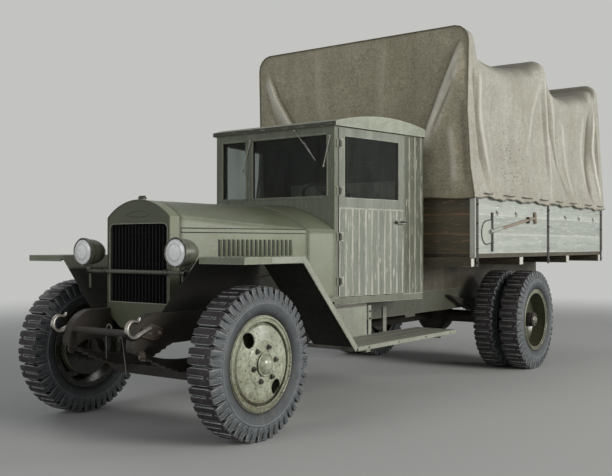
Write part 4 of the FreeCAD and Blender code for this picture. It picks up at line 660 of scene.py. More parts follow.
# ---- Tow hooks and nose bar --------------------------------------------------
# Two forged hooks, each drawn from one bar that tapers to a flared tip, bolted by
# a flat palm to its frame horn. A lifting eye and two hangers go round the bar.
# Forgings are left bare: rope rubs the hooks bright, rust stays in their hollows, their corners carry
# painted highlights, and painted shade turns the faces that look down near black.
bare_forging = enamel("Bare forged steel", "#a8a59f", "#7c766f", "#eceae6", "#655c53", wear=1.0, soil=0.12,
        gloss=0.24, metal=0.7, grit=0.3, underseal_and_shade="down")
# Forged palms that stay brown with rust under their bolts.
rusty_palm = enamel("Rust-brown forged palms", "#3f352d", "#52463c", "#a3998e", "#433a31", wear=0.9,
        soil=0.2, gloss=0.45)
# Drawn rod under a film of grease, grey-brown and half bright.
greased_rod = enamel("Greased steel rod", "#5b5650", "#6d6861", "#a39d94", "#4a433b", wear=0.9, soil=0.2,
        gloss=0.34, metal=0.4)


def tapered(name, path, sides=12):
    """A round bar through (point, radius) places: a smooth curve given its thickness at each, then meshed."""
    only(traced(name, [point for point, _ in path]))
    bpy.ops.object.convert(target="CURVE")
    line = bpy.context.object.data
    for point, (_, radius) in zip(line.splines[0].points, path):
        point.radius = radius
    line.bevel_depth = 1.0
    line.bevel_resolution = sides // 4
    line.use_fill_caps = True
    bpy.ops.object.convert(target="MESH")
    return named(bpy.context.object, name)


def rounded(corners, steps=3):
    """A line of (point, radius) places with its corners cut round, and what is left cut round again."""
    for _ in range(steps):
        cut = [corners[0]]
        for (a, one), (b, two) in zip(corners, corners[1:]):
            a, b = Vector(a), Vector(b)
            cut += [(a.lerp(b, 0.25), one * 0.75 + two * 0.25), (a.lerp(b, 0.75), one * 0.25 + two * 0.75)]
        corners = cut + [corners[-1]]
    return corners


bend = [((0, -2.895, 0.664), 0.0135), ((0, -2.965, 0.64), 0.0155), ((0, -3.022, 0.612), 0.0165),
        ((0, -3.071, 0.628), 0.0165), ((0, -3.08, 0.682), 0.0155), ((0, -3.042, 0.718), 0.0135),
        ((0, -2.992, 0.704), 0.0115), ((0, -2.978, 0.732), 0.0075)]
palm_edge = ((-2.96, 0.618), (-2.865, 0.59), (-2.79, 0.612), (-2.79, 0.655), (-2.88, 0.69), (-2.95, 0.668))
hooks, palms = [], []
for out in (1, -1):
    hook = tapered("hook", rounded(bend))
    hook.data.transform(Matrix.Translation((out * 0.3335, 0, 0)))
    hooks.append(hook)
    palms.append(raised("palm", [(out * 0.3187, y, z) for y, z in palm_edge],
            [((out * 0.018, 0, 0), (1, 1, 1))], 0.003))
    palms += [nut("bolt", (out * 0.3367, y, z), (out, 0, 0), 0.02, 0.009)
            for y, z in ((-2.905, 0.642), (-2.825, 0.634))]
forgings = settled(joined("hook_forgings", hooks), bare_forging, "chassis", 60)
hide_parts("tow_hooks")
settled(joined("hook_palms", palms), rusty_palm, "chassis", 30)
eye = [(0.038, 0.628), (0.041, 0.66), (0.05, 0.675), (0.062, 0.68), (0.074, 0.675), (0.083, 0.66),
        (0.086, 0.628)]
strap = [(0.176, -2.996, 0.585), (0.178, -2.998, 0.606), (0.187, -2.996, 0.614), (0.197, -2.992, 0.606),
        (0.201, -2.988, 0.575), (0.207, -2.975, 0.45), (0.209, -2.97, 0.395)]
hangers = [
        wire("eye", [(x, -2.972, z) for x, z in eye], 0.0042, 12),
        wire("hanger", [(0.012, -2.95, 0.612), (0.012, -2.951, 0.585), (0.013, -2.95, 0.47)], 0.0036, 12),
        wire("strap", strap, 0.0036, 12)]
settled(joined("nose_bar_hangers", hangers), greased_rod, "chassis", 50)
# each spring eye's pin, with its shackle cheek and a castle nut
pins = []
for out in (1, -1):
    pins.append(nut("pin", (out * 0.3185, -2.945, 0.506), (out, 0, 0), 0.03, 0.014))
    pins.append(rod("cheek", (out * 0.3165, -2.945, 0.506), (out * 0.3215, -2.945, 0.506), 0.029, 24, 0.001))
settled(joined("spring_eye_pins", pins), rusty_palm, "chassis", 30)

# ---- Hood sides --------------------------------------------------------------
# Two lifting panels of thin sheet. Each has a rolled band under the shoulder and
# seventeen pressed louvres that let the engine's heat out.
hood_plane = Matrix.Translation((0.283, -2.603, 0)) @ Matrix.Rotation(-math.atan2(0.267, 0.973), 4, "Z")
# Painted shade: the mouths are dark slabs for the dark under the hood that they open on, and the two lines
# along the band for the shade under it.
louvre_dark = enamel("Shadowed louvre mouth", "#1b1c15", "#24251c", "#33342a", "#2c2a22", wear=0.1,
        soil=0.1, gloss=0.7)
first_slat, pitch = 0.305, 0.0354
bulge = raised("louvre",
        [(0.0005, -0.0125, 1.082), (0.009, -0.003, 1.082), (0.0115, 0.004, 1.082), (0.0005, 0.0105, 1.082)],
        [((0, 0, 0.094), (1, 1, 1)), ((-0.002, 0.0, 0.013), (1.0, 1.0, 1))], edge=0.0018, rows=2)
# a dark slab beside each louvre stands in for its shaded mouth
mouth = slab("mouth", (-0.001, -0.0235, 1.081), (0.0014, -0.01, 1.19), 0.0008)
band = slab("band", (-0.001, 0.012, 1.2345), (0.0026, 0.992, 1.2565), 0.0012)
# two dark lines along the band: painted shade under its rolled edges
lines = [slab("line", (-0.001, 0.012, z - 0.003), (0.003, 0.992, z + 0.003), 0.0005) for z in (1.233, 1.2595)]
bulges, mouths = [[copied(piece, Matrix.Translation((0, first_slat + pitch * i, 0))) for i in range(17)]
        for piece in (bulge, mouth)]
pressings = joined("pressings", bulges + [band])
slots = joined("slots", mouths + lines)
for piece in (pressings, slots):
    piece.data.transform(hood_plane)
paired(
        (pressings, "hood_louvres", pressing_enamel, "hood_", "body_paint", 40),
        (slots, "hood_louvre_mouths", louvre_dark, "hood_", "black_paint", 40))
discarded(bulge, mouth)

# ---- Headlamps ---------------------------------------------------------------
# Spun steel buckets on a cross bar, enamelled with the body, each with a plated
# rim and a fluted glass over a silvered bowl.
# Lamp enamel, glossier and a little darker than that of the body.
lamp_enamel = enamel("Olive lamp enamel", "#4c5042", "#5e6254", "#8c8c80", "#4c473b", wear=0.7,
        soil=0.2, gloss=0.24)
dress(lamp_enamel, "headlamps")
# Painted reflection: the glass is near white for the silvered bowl behind it, with a darker ring where the
# bowl turns, and fine upright flutes.
lamp_x, lamp_z = 0.421, 1.109
lamp_glass, tree = blank_material("Fluted lamp glass over silver")
place = add(tree, "TexCoord").outputs["Object"]
abreast, _, height = add(tree, "SeparateXYZ", [place]).outputs
abreast = add(tree, "Math.ABSOLUTE", [abreast])
across = add(tree, "Math.SUBTRACT", [abreast, lamp_x])
up = add(tree, "Math.SUBTRACT", [height, lamp_z])
ray = add(tree, "CombineXYZ", [across, up])
reach = add(tree, "VectorMath.LENGTH", [ray]).outputs["Value"]
ring = add(tree, "MapRange", [reach, 0.04, 0.052])
rim = add(tree, "MapRange", [reach, 0.062, 0.052])
base = coated(tree, "#f4f5f6", ("#a3a5a8", ring, rim, 0.55),
        ("#c2c1bb", blotches(tree, place, 22, 0.5, 0.66), 0.4))
flutes = add(tree, "Math.SINE", [add(tree, "Math.MULTIPLY", [across, 900.0])])
surfaced(tree, base, 0.16, flutes, 0.5, 0.001, Coat_Weight=0.6, Coat_Roughness=0.05)
# Nickel plate, worn grey at the lips.
plate = enamel("Tarnished nickel plate", "#4a4b45", "#3b3b35", "#a9a89f", "#4c473b", wear=0.9, soil=0.1,
        gloss=0.28, metal=0.6)
to_front = Matrix.Rotation(-math.pi / 2, 4, "Z")
bulb_glass = spun("glass", [(0.0, 0.0), (0.0, 0.0805), (0.003, 0.0805), (0.009, 0.066), (0.0135, 0.045),
        (0.016, 0.022), (0.0165, 0.0)], 48)
rim_ring = spun("rim",
        [(-0.004, 0.079), (-0.004, 0.0915), (0.004, 0.0915), (0.0075, 0.086), (0.005, 0.079)], 48)
band_ring = spun("band", [(-0.034, 0.08), (-0.034, 0.0865), (-0.028, 0.0865), (-0.028, 0.08)], 48)
glasses, rims = [], []
for out in (1, -1):
    put = Matrix.Translation((out * lamp_x, -2.7765, lamp_z)) @ to_front
    glasses.append(copied(bulb_glass, put))
    rims += [copied(rim_ring, put), copied(band_ring, put)]
    rims.append(nut("screw", (out * lamp_x, -2.781, 1.021), (0, -1, 0), 0.009, 0.004))
    for start, end, radius in ((0.262, 0.295, 0.019), (0.398, 0.444, 0.021)):
        rims.append(rod("socket", (out * start, -2.714, 0.986), (out * end, -2.714, 0.986),
                radius, 20, 0.002))
settled(joined("headlamp_glasses", glasses), lamp_glass, "chassis", 50)
settled(joined("headlamp_rims", rims), plate, "chassis", 50)
discarded(bulb_glass, rim_ring, band_ring)

# ---- Fenders and running boards ----------------------------------------------
# Flat steel folded by hand and riveted, stiffened by a turned lip, with plank
# steps between steel angles. Boots and stones have taken the paint off the edges.
# Enamel scraped more than the hood's, black on its underside with underseal and painted shade, with painted
# shade on its top and, under its top, behind the wheel.
fender_enamel = enamel("Scraped olive fender enamel", "#656a57", "#7b806d", "#b3b5a4", "#857d69", wear=0.95,
        soil=0.4, gloss=0.38, grit=0.35, underseal_and_shade="down", facing_shade=("Z", 0.6, 0.95, "#4f5340", 0.45),
        splashed=True)
dress(fender_enamel, "fender_left", "fender_right")
# Old grey primer showing through: pale, chalky and pitted.
scraped = enamel("Scraped grey primer", "#787d70", "#999d8f", "#4c473b", "#857d69", wear=0.35, soil=0.25,
        gloss=0.46, grit=1.0)


def boarding(name, paint, faded, bare, dark, along, across, board, start, wear=0.6, streaks=0.5, joint=0.6,
        gloss=0.55, dim=None, framed=9.0, front_shade=None):
    """Brush-painted softwood boards: streaks along the grain, each board a shade of its own, paint rubbed off
    beside the joints and dirt in them. Across points over the boards, start is a joint's place along it, and
    faces turned towards the point dim, inside the cab, are darker with a stain and painted shade. Above the
    height framed the timber is plain framing, and faces that look ahead take the front shade colour as
    painted shade."""
    material, tree = blank_material(name)
    frame_of = add(tree, "TexCoord")
    place = frame_of.outputs["Object"]
    # grain is drawn at 5 mm, coarser than the real 1 mm, so that it shows
    squeeze, stretch = [[share if i == along else 1.0 for i in range(3)] for share in (0.045, 0.1)]
    fine = blotches(tree, place, 9, 0.34, 0.68, detail=4.0, squeeze=squeeze)
    long = blotches(tree, place, 55, 0.36, 0.64, detail=5.0, squeeze=squeeze)
    wide = blotches(tree, place, 520, 0.36, 0.64)
    peel = blotches(tree, place, 11, 0.6, 0.66, detail=5.0, squeeze=stretch)
    # which board a point is on, and how far it is from that board's joints
    abreast, lengthwise, height = add(tree, "SeparateXYZ", [place]).outputs
    abreast = add(tree, "Math.ABSOLUTE", [abreast])
    mirrored = add(tree, "CombineXYZ", [abreast, lengthwise, height])
    over = add(tree, "VectorMath.DOT_PRODUCT", [mirrored, across]).outputs["Value"]
    over = add(tree, "Math.SUBTRACT", [over, start])
    over = add(tree, "Math.DIVIDE", [over, board])
    count = add(tree, "Math.FLOOR", [over])
    shade = add(tree, "TexWhiteNoise", {"W": count}, noise_dimensions="1D").outputs["Value"]
    within = add(tree, "Math.FRACT", [over])
    within = add(tree, "Math.SUBTRACT", [within, 0.5])
    within = add(tree, "Math.ABSOLUTE", [within])
    gap = add(tree, "Math.MULTIPLY", [add(tree, "Math.SUBTRACT", [0.5, within]), board])
    boarded = add(tree, "MapRange", [height, framed, framed - 0.004])
    beside = add(tree, "MapRange", [gap, 0.0078, 0.0046])
    rubbed = blotches(tree, place, 20, 0.38, 0.56, detail=5.0, squeeze=stretch)
    peel = add(tree, "Math.MULTIPLY", [peel, add(tree, "MapRange", [boarded, 0, 1, 0.3, 1.0])])
    cleft = add(tree, "MapRange", [gap, 0.0036, 0.0014])
    base = coated(tree, paint, (faded, long), (faded, wide, 0.45), (dark, shade, 0.22),
            (dark, fine, 0.3 * streaks), (bare, peel, streaks),
            (bare, beside, rubbed, boarded, joint), (dark, cleft, boarded, min(1.0, joint * 1.2)),
            (bare, worn_edges(tree, 0.006, blotches(tree, place, 40, 0.28, 0.5)), wear))
    # faces inside the cab: a dark stain and painted shade
    if dim:
        out = add(tree, "VectorMath.SUBTRACT", [place, dim])
        out = add(tree, "VectorMath.NORMALIZE", [out])
        out = add(tree, "VectorMath.DOT_PRODUCT", [out, frame_of.outputs["Normal"]]).outputs["Value"]
        inner = add(tree, "MapRange", [out, -0.12, -0.22, 0.0, 0.92])
        base = coated(tree, base, ("#5c5548", inner))
    # painted shade on faces that look ahead
    if front_shade:
        ahead = add(tree, "SeparateXYZ", [frame_of.outputs["Normal"]]).outputs["Y"]
        ahead = add(tree, "MapRange", [ahead, -0.6, -0.85])
        patchy = add(tree, "MapRange", [peel, 0, 1, 0.92, 0.2])
        base = coated(tree, base, (front_shade, ahead, patchy))
    rough = add(tree, "MapRange", [fine, 0, 1, gloss, gloss + 0.2])
    surfaced(tree, base, rough, fine, 0.25, 0.0015)
    return material


# Pine planks under thin grey-olive paint, scuffed through to grey wood.
step_boards = boarding("Scuffed pine step boards", "#6c6e60", "#82827a", "#aca89c", "#2c2a24", 1, (1, 0, 0),
        0.0724, 0.606, wear=0.7)
dress(step_boards, "running_board_left", "running_board_right")
guard = [(-2.553, 1.0855), (-2.225, 1.0855), (-1.637, 0.4785), (-1.662, 0.452), (-2.243, 1.047),
        (-2.553, 1.047)]
worn = [
        raised("guard", [(0.969, y, z) for y, z in guard], [((0.0016, 0, 0), (1, 1, 1))], 0.0006),
        slab("splash", (0.6062, -1.622, 0.479), (0.6085, -0.955, 0.698), 0.0008),
        slab("bracket", (0.6064, -0.938, 0.479), (0.6125, -0.895, 0.7), 0.002),
        slab("outer_edge", (0.966, -1.634, 0.4495), (0.9712, -0.201, 0.4795), 0.0015),
        slab("rear_edge", (0.607, -0.2035, 0.4505), (0.9705, -0.1985, 0.4795), 0.0012),
        slab("inner_edge", (0.607, -1.634, 0.4772), (0.613, -0.201, 0.4795), 0.0008)]
bolts = [nut("bolt", (0.6125, -0.9165, z), (1, 0, 0), 0.016, 0.007) for z in (0.655, 0.6)]
bolts += [nut("bolt", (0.9712, y, 0.4645), (1, 0, 0), 0.011, 0.004) for y in (-1.5, -1.1, -0.7, -0.3)]
# a riveted joint plate on the rail, behind the cab
joint_plate = [slab("joint", (0.4195, -0.042, 0.537), (0.4225, 0.125, 0.741), 0.001)]
joint_plate += [rod("rivet", (0.422, y, z), (0.427, y, z), 0.0085, 14, 0.003)
        for y, z in ((0.03, 0.671), (0.03, 0.611), (0.083, 0.643), (0.03, 0.573), (0.083, 0.7))]
paired(
        (joined("worn", worn), "fender_guards", scraped, "chassis", "body_paint", 30),
        (joined("bolts", bolts), "step_bolts", nut_steel, "chassis", "dark_steel", 30),
        (joined("joint_plate", joint_plate), "rail_joint_plate", rail_enamel, "chassis", "frame", 30))

# ---- Cab ---------------------------------------------------------------------
# Upright tongued boards on a timber frame, brushed with thin olive paint that has
# gone grey-green. Hinges, stays and handles are black iron.
# each cab side spreads towards the rear by this angle from its hinge post
spread, post_x, post_y = math.radians(10.24), 0.57, -1.325
along_side = (math.sin(spread), math.cos(spread), 0)
hinge_edge = post_x * math.sin(spread) + post_y * math.cos(spread) + 0.047
in_cab = (0, -0.8, 1.4)
# The door boards have bleached most, the quarters are darker with painted shade, and the framing keeps its
# olive.
cab_boards = boarding("Weathered olive door boards", "#70766a", "#858a7e", "#dedccf", "#2d3027", 2,
        along_side, 0.071, hinge_edge, wear=0.85, streaks=0.5, joint=1.0, dim=in_cab, framed=1.422)
dress(cab_boards, "door_left", "door_right")
# painted shade: the quarters' darker olive
quarter_boards = boarding("Weathered olive quarter boards", "#50543f", "#62665a", "#c9c7b8", "#23261d", 2,
        along_side, 0.071, hinge_edge + 0.721, wear=0.85, streaks=0.6, joint=1.0, dim=in_cab)
dress(quarter_boards, "cab_quarter_left", "cab_quarter_right")
back_boards = boarding("Weathered olive back boards", "#72776a", "#868b7f", "#c3c1b3", "#3a3d34", 2,
        (1, 0, 0), 0.0742, 0.0, wear=0.8, streaks=0.5, joint=0.6, dim=in_cab)
dress(back_boards, "cab_rear_wall")
frame_boards = boarding("Olive cab framing", "#5f6454", "#747968", "#b9b9a8", "#30322a", 2, (1, 0, 0), 3.0,
        -1.5, wear=0.8, streaks=0.25, joint=0.0, dim=in_cab)
dress(frame_boards, "windscreen_frame", "cab_floor", "seat_box")
# Blackened iron, brown at the corners where hands rub it.
black_iron = enamel("Black iron fittings", "#191815", "#24221e", "#6e675c", "#4a4339", wear=0.7, soil=0.2,
        gloss=0.4, metal=0.3)
dress(black_iron, "steering_column", "side_irons")
# Moulded black grip, polished by gloves, drawn paler as painted light for the dim cab, its pale corners
# painted highlights.
bakelite = enamel("Polished black wheel rim", "#2c2925", "#3c3833", "#c9c4b8", "#4a4339", wear=1.0,
        soil=0.1, gloss=0.16)
dress(bakelite, "steering_wheel")
side_plane = Matrix.Translation((post_x, post_y, 0)) @ Matrix.Rotation(-spread, 4, "Z")
leaves, sleeves = [], []
for z in (1.891, 1.545, 1.213, 0.889):
    leaves.append(slab("leaf", (0.0045, 0.0496, z - 0.024), (0.0068, 0.068, z + 0.024), 0.0012))
    leaves += [nut("screw", (0.0066, 0.06, z + dz), (1, 0, 0), 0.007, 0.002) for dz in (-0.014, 0.014)]
    sleeves.append(rod("sleeve", (0.008, 0.042, z - 0.03), (0.008, 0.042, z + 0.03), 0.0078, 14, 0.001))
    sleeves.append(slab("plate", (-0.0005, 0.018, z - 0.022), (0.0035, 0.036, z + 0.022), 0.001))
# a dark strip of rubber closes the gap on the hinge side
sleeves.append(slab("gap_strip", (0.0, 0.0365, 0.792), (0.0035, 0.0452, 2.004), 0.001))
grip = wire("grip",
        [(0.027, 0.668, 1.328), (0.034, 0.69, 1.329), (0.035, 0.735, 1.33), (0.03, 0.764, 1.329)], 0.0068, 12)
rose = rod("rose", (0.0005, 0.673, 1.328), (0.006, 0.673, 1.328), 0.014, 20, 0.002)
lock = slab("lock", (0.0, 0.738, 1.314), (0.003, 0.758, 1.342), 0.001)
door_iron = joined("door_iron", leaves + [rose, lock, grip])
post_iron = joined("post_iron", sleeves)
for piece in (door_iron, post_iron):
    piece.data.transform(side_plane)
paired(
        (door_iron, "door_fittings", black_iron, "door_", "black_paint", 35),
        (post_iron, "door_post_hinges", black_iron, "chassis", "black_paint", 35))
screen_y = -1.333
stays = [
        rod("stay", (-0.213, screen_y, 1.958), (-0.29, screen_y - 0.004, 1.727), 0.0042, 10, 0.001),
        rod("stay", (0.534, screen_y, 1.942), (0.479, screen_y - 0.004, 1.726), 0.005, 10, 0.001),
        rod("wiper", (0.216, screen_y - 0.002, 2.003), (0.395, screen_y - 0.002, 1.782), 0.0028, 8, 0.001),
        rod("blade", (0.3, screen_y + 0.001, 1.915), (0.405, screen_y + 0.001, 1.768), 0.004, 6, 0.001)]
stays += [rod("knob", (x, screen_y + 0.012, z), (x, screen_y - 0.01, z), 0.008, 12, 0.002)
        for x, z in ((-0.213, 1.958), (-0.29, 1.727), (0.534, 1.942), (0.479, 1.726), (0.216, 2.003))]
# Nickelled stays and knobs, dulled and worn.
stay_plate = enamel("Worn nickelled stays", "#7d7b74", "#98968e", "#d5d3cc", "#4a4339", wear=1.0, soil=0.1,
        gloss=0.26, metal=0.3)
settled(joined("windscreen_stays", stays), stay_plate, "chassis", 35)
# the two panes sit in folded steel frames, screwed to the timber
surround = []
for left, right in ((-0.512, -0.254), (-0.205, 0.512)):
    for low, high in (((left, 1.5), (right, 1.512)), ((left, 1.953), (right, 1.965)),
            ((left, 1.5), (left + 0.012, 1.965)), ((right - 0.012, 1.5), (right, 1.965))):
        surround.append(slab("sash", (low[0], -1.331, low[1]), (high[0], -1.318, high[1]), 0.0015))
settled(joined("windscreen_sashes", surround), frame_boards, "chassis", 35)

# Window glass, dusty, with a grey tint that darkens the inside of the cab seen through it as painted shade.
# Its index is set under that of glass, so that the pale room doesn't mirror in it.
glass, tree = blank_material("Dusty cab window glass")
place = add(tree, "TexCoord").outputs["Object"]
film = blotches(tree, place, 70, 0.45, 0.8, squeeze=(1, 1, 0.2))
tint = coated(tree, "#bcc2c0", ("#969a97", film))
rough = add(tree, "MapRange", [film, 0, 1, 0.0, 0.1])
shader = add(tree, "BsdfPrincipled",
        {"Base Color": tint, "Roughness": rough, "IOR": 1.12, "Transmission Weight": 0.97})
add(tree, "OutputMaterial", {"Surface": shader})
dress(glass, "door_glass_left", "door_glass_right", "cab_glass")

# ---- Roof --------------------------------------------------------------------
# Rubberised cloth stretched over roof boards and tacked round the edge under a
# painted batten.
# painted shade on its front edge
roof_cloth = boarding("Painted roof cloth", "#858b7b", "#9a9f90", "#cfcfc2", "#41433a", 0, (0, 1, 0), 3.0,
        -4.0, wear=0.9, streaks=0.35, joint=0.0, gloss=0.6, dim=in_cab, front_shade="#38362c")
dress(roof_cloth, "cab_roof")

# ---- Seat --------------------------------------------------------------------
# A bench of split leathercloth over horsehair and coil springs: a base pad and
# a back, each sewn into upright channels and held down with piping.
# Painted light: the leathercloth is drawn paler than it is, for the little light inside the cab.
seat_hide, tree = blank_material("Cracked brown leathercloth")
place = add(tree, "TexCoord").outputs["Object"]
worn_patch = blotches(tree, place, 260, 0.4, 0.66)
creases = add(tree, "TexVoronoi", {"Vector": place, "Scale": 90.0}, feature="DISTANCE_TO_EDGE")
crack = add(tree, "MapRange", [creases, 0.0, 0.05])
base = coated(tree, "#8f877a", ("#b0a898", worn_patch))
base = coated(tree, "#1b1713", (base, crack))
rough = add(tree, "MapRange", [worn_patch, 0, 1, 0.38, 0.6])
surfaced(tree, base, rough, crack, 0.35, 0.001, Sheen_Weight=0.15)


def stuffed(name, low, high, face, channels, crown, dip):
    """A sewn pad: a block cut fine, swelled on its open face and pulled in along upright channels."""
    columns, rows = channels * 6, 14
    pad = slab(name, low, high, 0.022, 4)
    opened(pad)
    bpy.ops.mesh.bisect(plane_co=(0, 0, 0), plane_no=(1, 0, 0))
    for i in range(1, columns):
        bpy.ops.mesh.select_all(action="SELECT")
        bpy.ops.mesh.bisect(plane_co=(low[0] + (high[0] - low[0]) * i / columns, 0, 0), plane_no=(1, 0, 0))
    other = 2 if face == 1 else 1
    for i in range(1, rows):
        at, normal = [0, 0, 0], [0, 0, 0]
        at[other] = low[other] + (high[other] - low[other]) * i / rows
        normal[other] = 1
        bpy.ops.mesh.select_all(action="SELECT")
        bpy.ops.mesh.bisect(plane_co=at, plane_no=normal)
    bpy.ops.object.mode_set(mode="OBJECT")
    for point in pad.data.vertices:
        along = (point.co.x - low[0]) / (high[0] - low[0])
        over = (point.co[other] - low[other]) / (high[other] - low[other])
        deep = (point.co[face] - low[face]) / (high[face] - low[face])
        depth = deep if face == 2 else 1 - deep
        swell = max(0.0, 1 - (2 * over - 1) ** 2) * max(0.0, 1 - (2 * along - 1) ** 6)
        seam = abs(math.sin(math.pi * channels * along)) ** 0.45 - 1
        rise = depth ** 2 * (crown * swell - crown + dip * seam * min(1, 4 * swell))
        point.co[face] += rise if face == 2 else -rise
        point.co.x -= 0.006 * (2 * along - 1) * abs(2 * depth - 1)
    return pad


low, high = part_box("seat_cushions")
base_pad = stuffed("seat_base_pad", (low.x + 0.004, low.y + 0.003, low.z + 0.001),
        (high.x - 0.004, -0.385, 1.214), 2, 8, 0.022, 0.016)
back_pad = stuffed("seat_back_pad", (low.x + 0.004, -0.402, 1.2),
        (high.x - 0.004, high.y - 0.001, high.z - 0.002), 1, 8, 0.024, 0.016)
for pad in (base_pad, back_pad):
    settled(pad, seat_hide, "chassis", 60)
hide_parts("seat_cushions")
piping = [wire("piping", [(-0.548, -0.766, 1.196), (0.548, -0.766, 1.196)], 0.005),
        wire("piping", [(-0.548, -0.398, 1.68), (0.548, -0.398, 1.68)], 0.005)]
settled(joined("seat_piping", piping), roof_cloth, "chassis", 60)

# ---- Cargo bed ---------------------------------------------------------------
# Sawn pine boards on cross beams, held by iron straps and coach bolts. Sides are
# brushed grey-green over bare wood; the front board has lost most of its paint.
# Thin grey-green paint on the sides, brown wood on the ends, oiled timber below and pale ash hoops.
side_boards = boarding("Grey-green bed side boards", "#939a94", "#a9aea6", "#d6d5cc", "#4e534d", 1, (0, 0, 1),
        0.0792, 1.085, wear=0.95, streaks=0.55, joint=0.5)
dress(side_boards, "bed_side_left", "bed_side_right")
end_boards = boarding("Bare-worn brown bed boards", "#4a4636", "#5c5340", "#9c7857", "#201c14", 0, (0, 0, 1),
        0.1583, 1.085, wear=0.7, streaks=0.6, joint=0.9)
dress(end_boards, "bed_front_board", "tailgate")
floor_boards = boarding("Oiled pine bed timbers", "#3b3629", "#4c4535", "#7c745f", "#1c1912", 0, (0, 1, 0),
        0.16, -0.148, wear=0.6, streaks=0.6, joint=0.5)
dress(floor_boards, "bed_frame", "bed_floor")
hoop_ash = boarding("Steam-bent ash", "#8a7454", "#a08a67", "#b8a582", "#4c3e2a", 2, (0, 1, 0), 3.0, -4.0,
        wear=0.3, streaks=0.4, joint=0.0)
dress(hoop_ash, "cover_hoops")
side_bolts, hooks = [], []
for y in (-0.124, 1.44, 3.024):
    side_bolts += [nut("bolt", (1.123, y, z), (1, 0, 0), 0.02, 0.008) for z in (1.125, 1.325, 1.48)]
    side_bolts.append(nut("bolt", (1.123, y, 1.012), (1, 0, 0), 0.022, 0.009))
for y in (0.258, 0.664, 1.109, 1.901, 2.296, 2.751):
    hooks.append(wire("hook", [(1.117, y, 1.428), (1.129, y, 1.424), (1.131, y, 1.408), (1.127, y, 1.399),
            (1.122, y, 1.404)], 0.0034))
    hooks.append(slab("hook_plate", (1.1172, y - 0.011, 1.415), (1.1192, y + 0.011, 1.442), 0.0008))
corner = [slab("corner", (1.1176, -0.1478, 1.052), (1.1205, -0.1465, 1.556), 0.001),
        slab("corner", (1.072, -0.156, 1.052), (1.1205, -0.1482, 1.556), 0.002)]
ends = [slab("beam_end", (1.117, y + 0.004, 0.984), (1.1186, y + w - 0.004, 1.046), 0.001)
        for y, w in ((-0.23, 0.06), (0.75, 0.08), (1.94, 0.08), (2.94, 0.07))]
# end grain and posts, painted pale: the brightest timber on the truck
pale_ends = boarding("Pale painted end grain", "#b4b8ae", "#c9cbc1", "#e3e1d8", "#5a5d55", 2, (1, 0, 0), 3.0,
        -1.5, wear=0.9, streaks=0.5, joint=0.0)
paired(
        (joined("bolts", side_bolts + hooks), "bed_bolts", nut_steel, "chassis", "dark_steel", 35),
        (joined("corners", corner), "bed_corners", pale_ends, "chassis", "bed_wood", 35),
        (joined("ends", ends), "bed_beam_ends", pale_ends, "chassis", "bed_wood", 35))

# ---- Cargo cover -------------------------------------------------------------
# Proofed flax canvas over three ash hoops: one wide sheet for the roof and sides,
# with an end cloth sewn in at the front. It sags between the hoops, pulls into
# folds off their corners, and a line run through its hem lashes it to the sides.
hem, top, shoulder, hoop_round, hem_half = 1.534, 2.9165, 1.0725, 0.1275, 1.1435
front_y, rear_y = -0.169, 3.088
# how far the cloth has sunk from the hoops along the truck: 0 on a hoop
sags = [(-0.169, 0.0), (-0.066, 0.0), (0.0, 0.8), (0.08, 0.93), (0.3, 0.99), (0.6, 1.0), (0.87, 0.9),
        (1.19, 0.6), (1.36, 0.3), (1.443, 0.0), (1.495, 0.0), (1.57, 0.55), (1.68, 0.97), (1.84, 1.17),
        (2.06, 1.31), (2.27, 1.25), (2.69, 0.88), (2.9, 0.62), (2.97, 0.35), (3.004, 0.0), (3.09, 0.0)]


def between(table, at):
    """A value between stations, eased a little at each."""
    for (a, low), (b, high) in zip(table, table[1:]):
        if at <= b:
            share = min(1.0, max(0.0, (at - a) / (b - a)))
            return low + (high - low) * (0.6 * share + 0.4 * share * share * (3 - 2 * share))
    return table[-1][1]


def creased(a, b, folds):
    """What folds do at a place on their plane: how far they lift the cloth, and how much painted shade they
    leave on it.
    """
    lift = tone = 0.0
    for line, before, after, height in folds:
        gap, over, share = 9.0, 0.0, 0.0
        for i, ((a0, b0), (a1, b1)) in enumerate(zip(line, line[1:])):
            run_a, run_b = a1 - a0, b1 - b0
            t = max(0.0, min(1.0, ((a - a0) * run_a + (b - b0) * run_b) / (run_a ** 2 + run_b ** 2)))
            gap_a, gap_b = a - a0 - run_a * t, b - b0 - run_b * t
            if math.hypot(gap_a, gap_b) < gap:
                gap, over = math.hypot(gap_a, gap_b), run_a * gap_b - run_b * gap_a
                share = (i + t) / (len(line) - 1)
        if gap < 0.35:
            width = after if over > 0 else before
            height *= min(1.0, share * 6 + 0.1) * min(1.0, (1 - share) * 4 + 0.2)
            lift += height * math.exp(-(gap / width) ** 1.5)
            tone -= height / 0.02 * math.exp(-(gap / (0.55 * width)) ** 2)
    return lift, tone


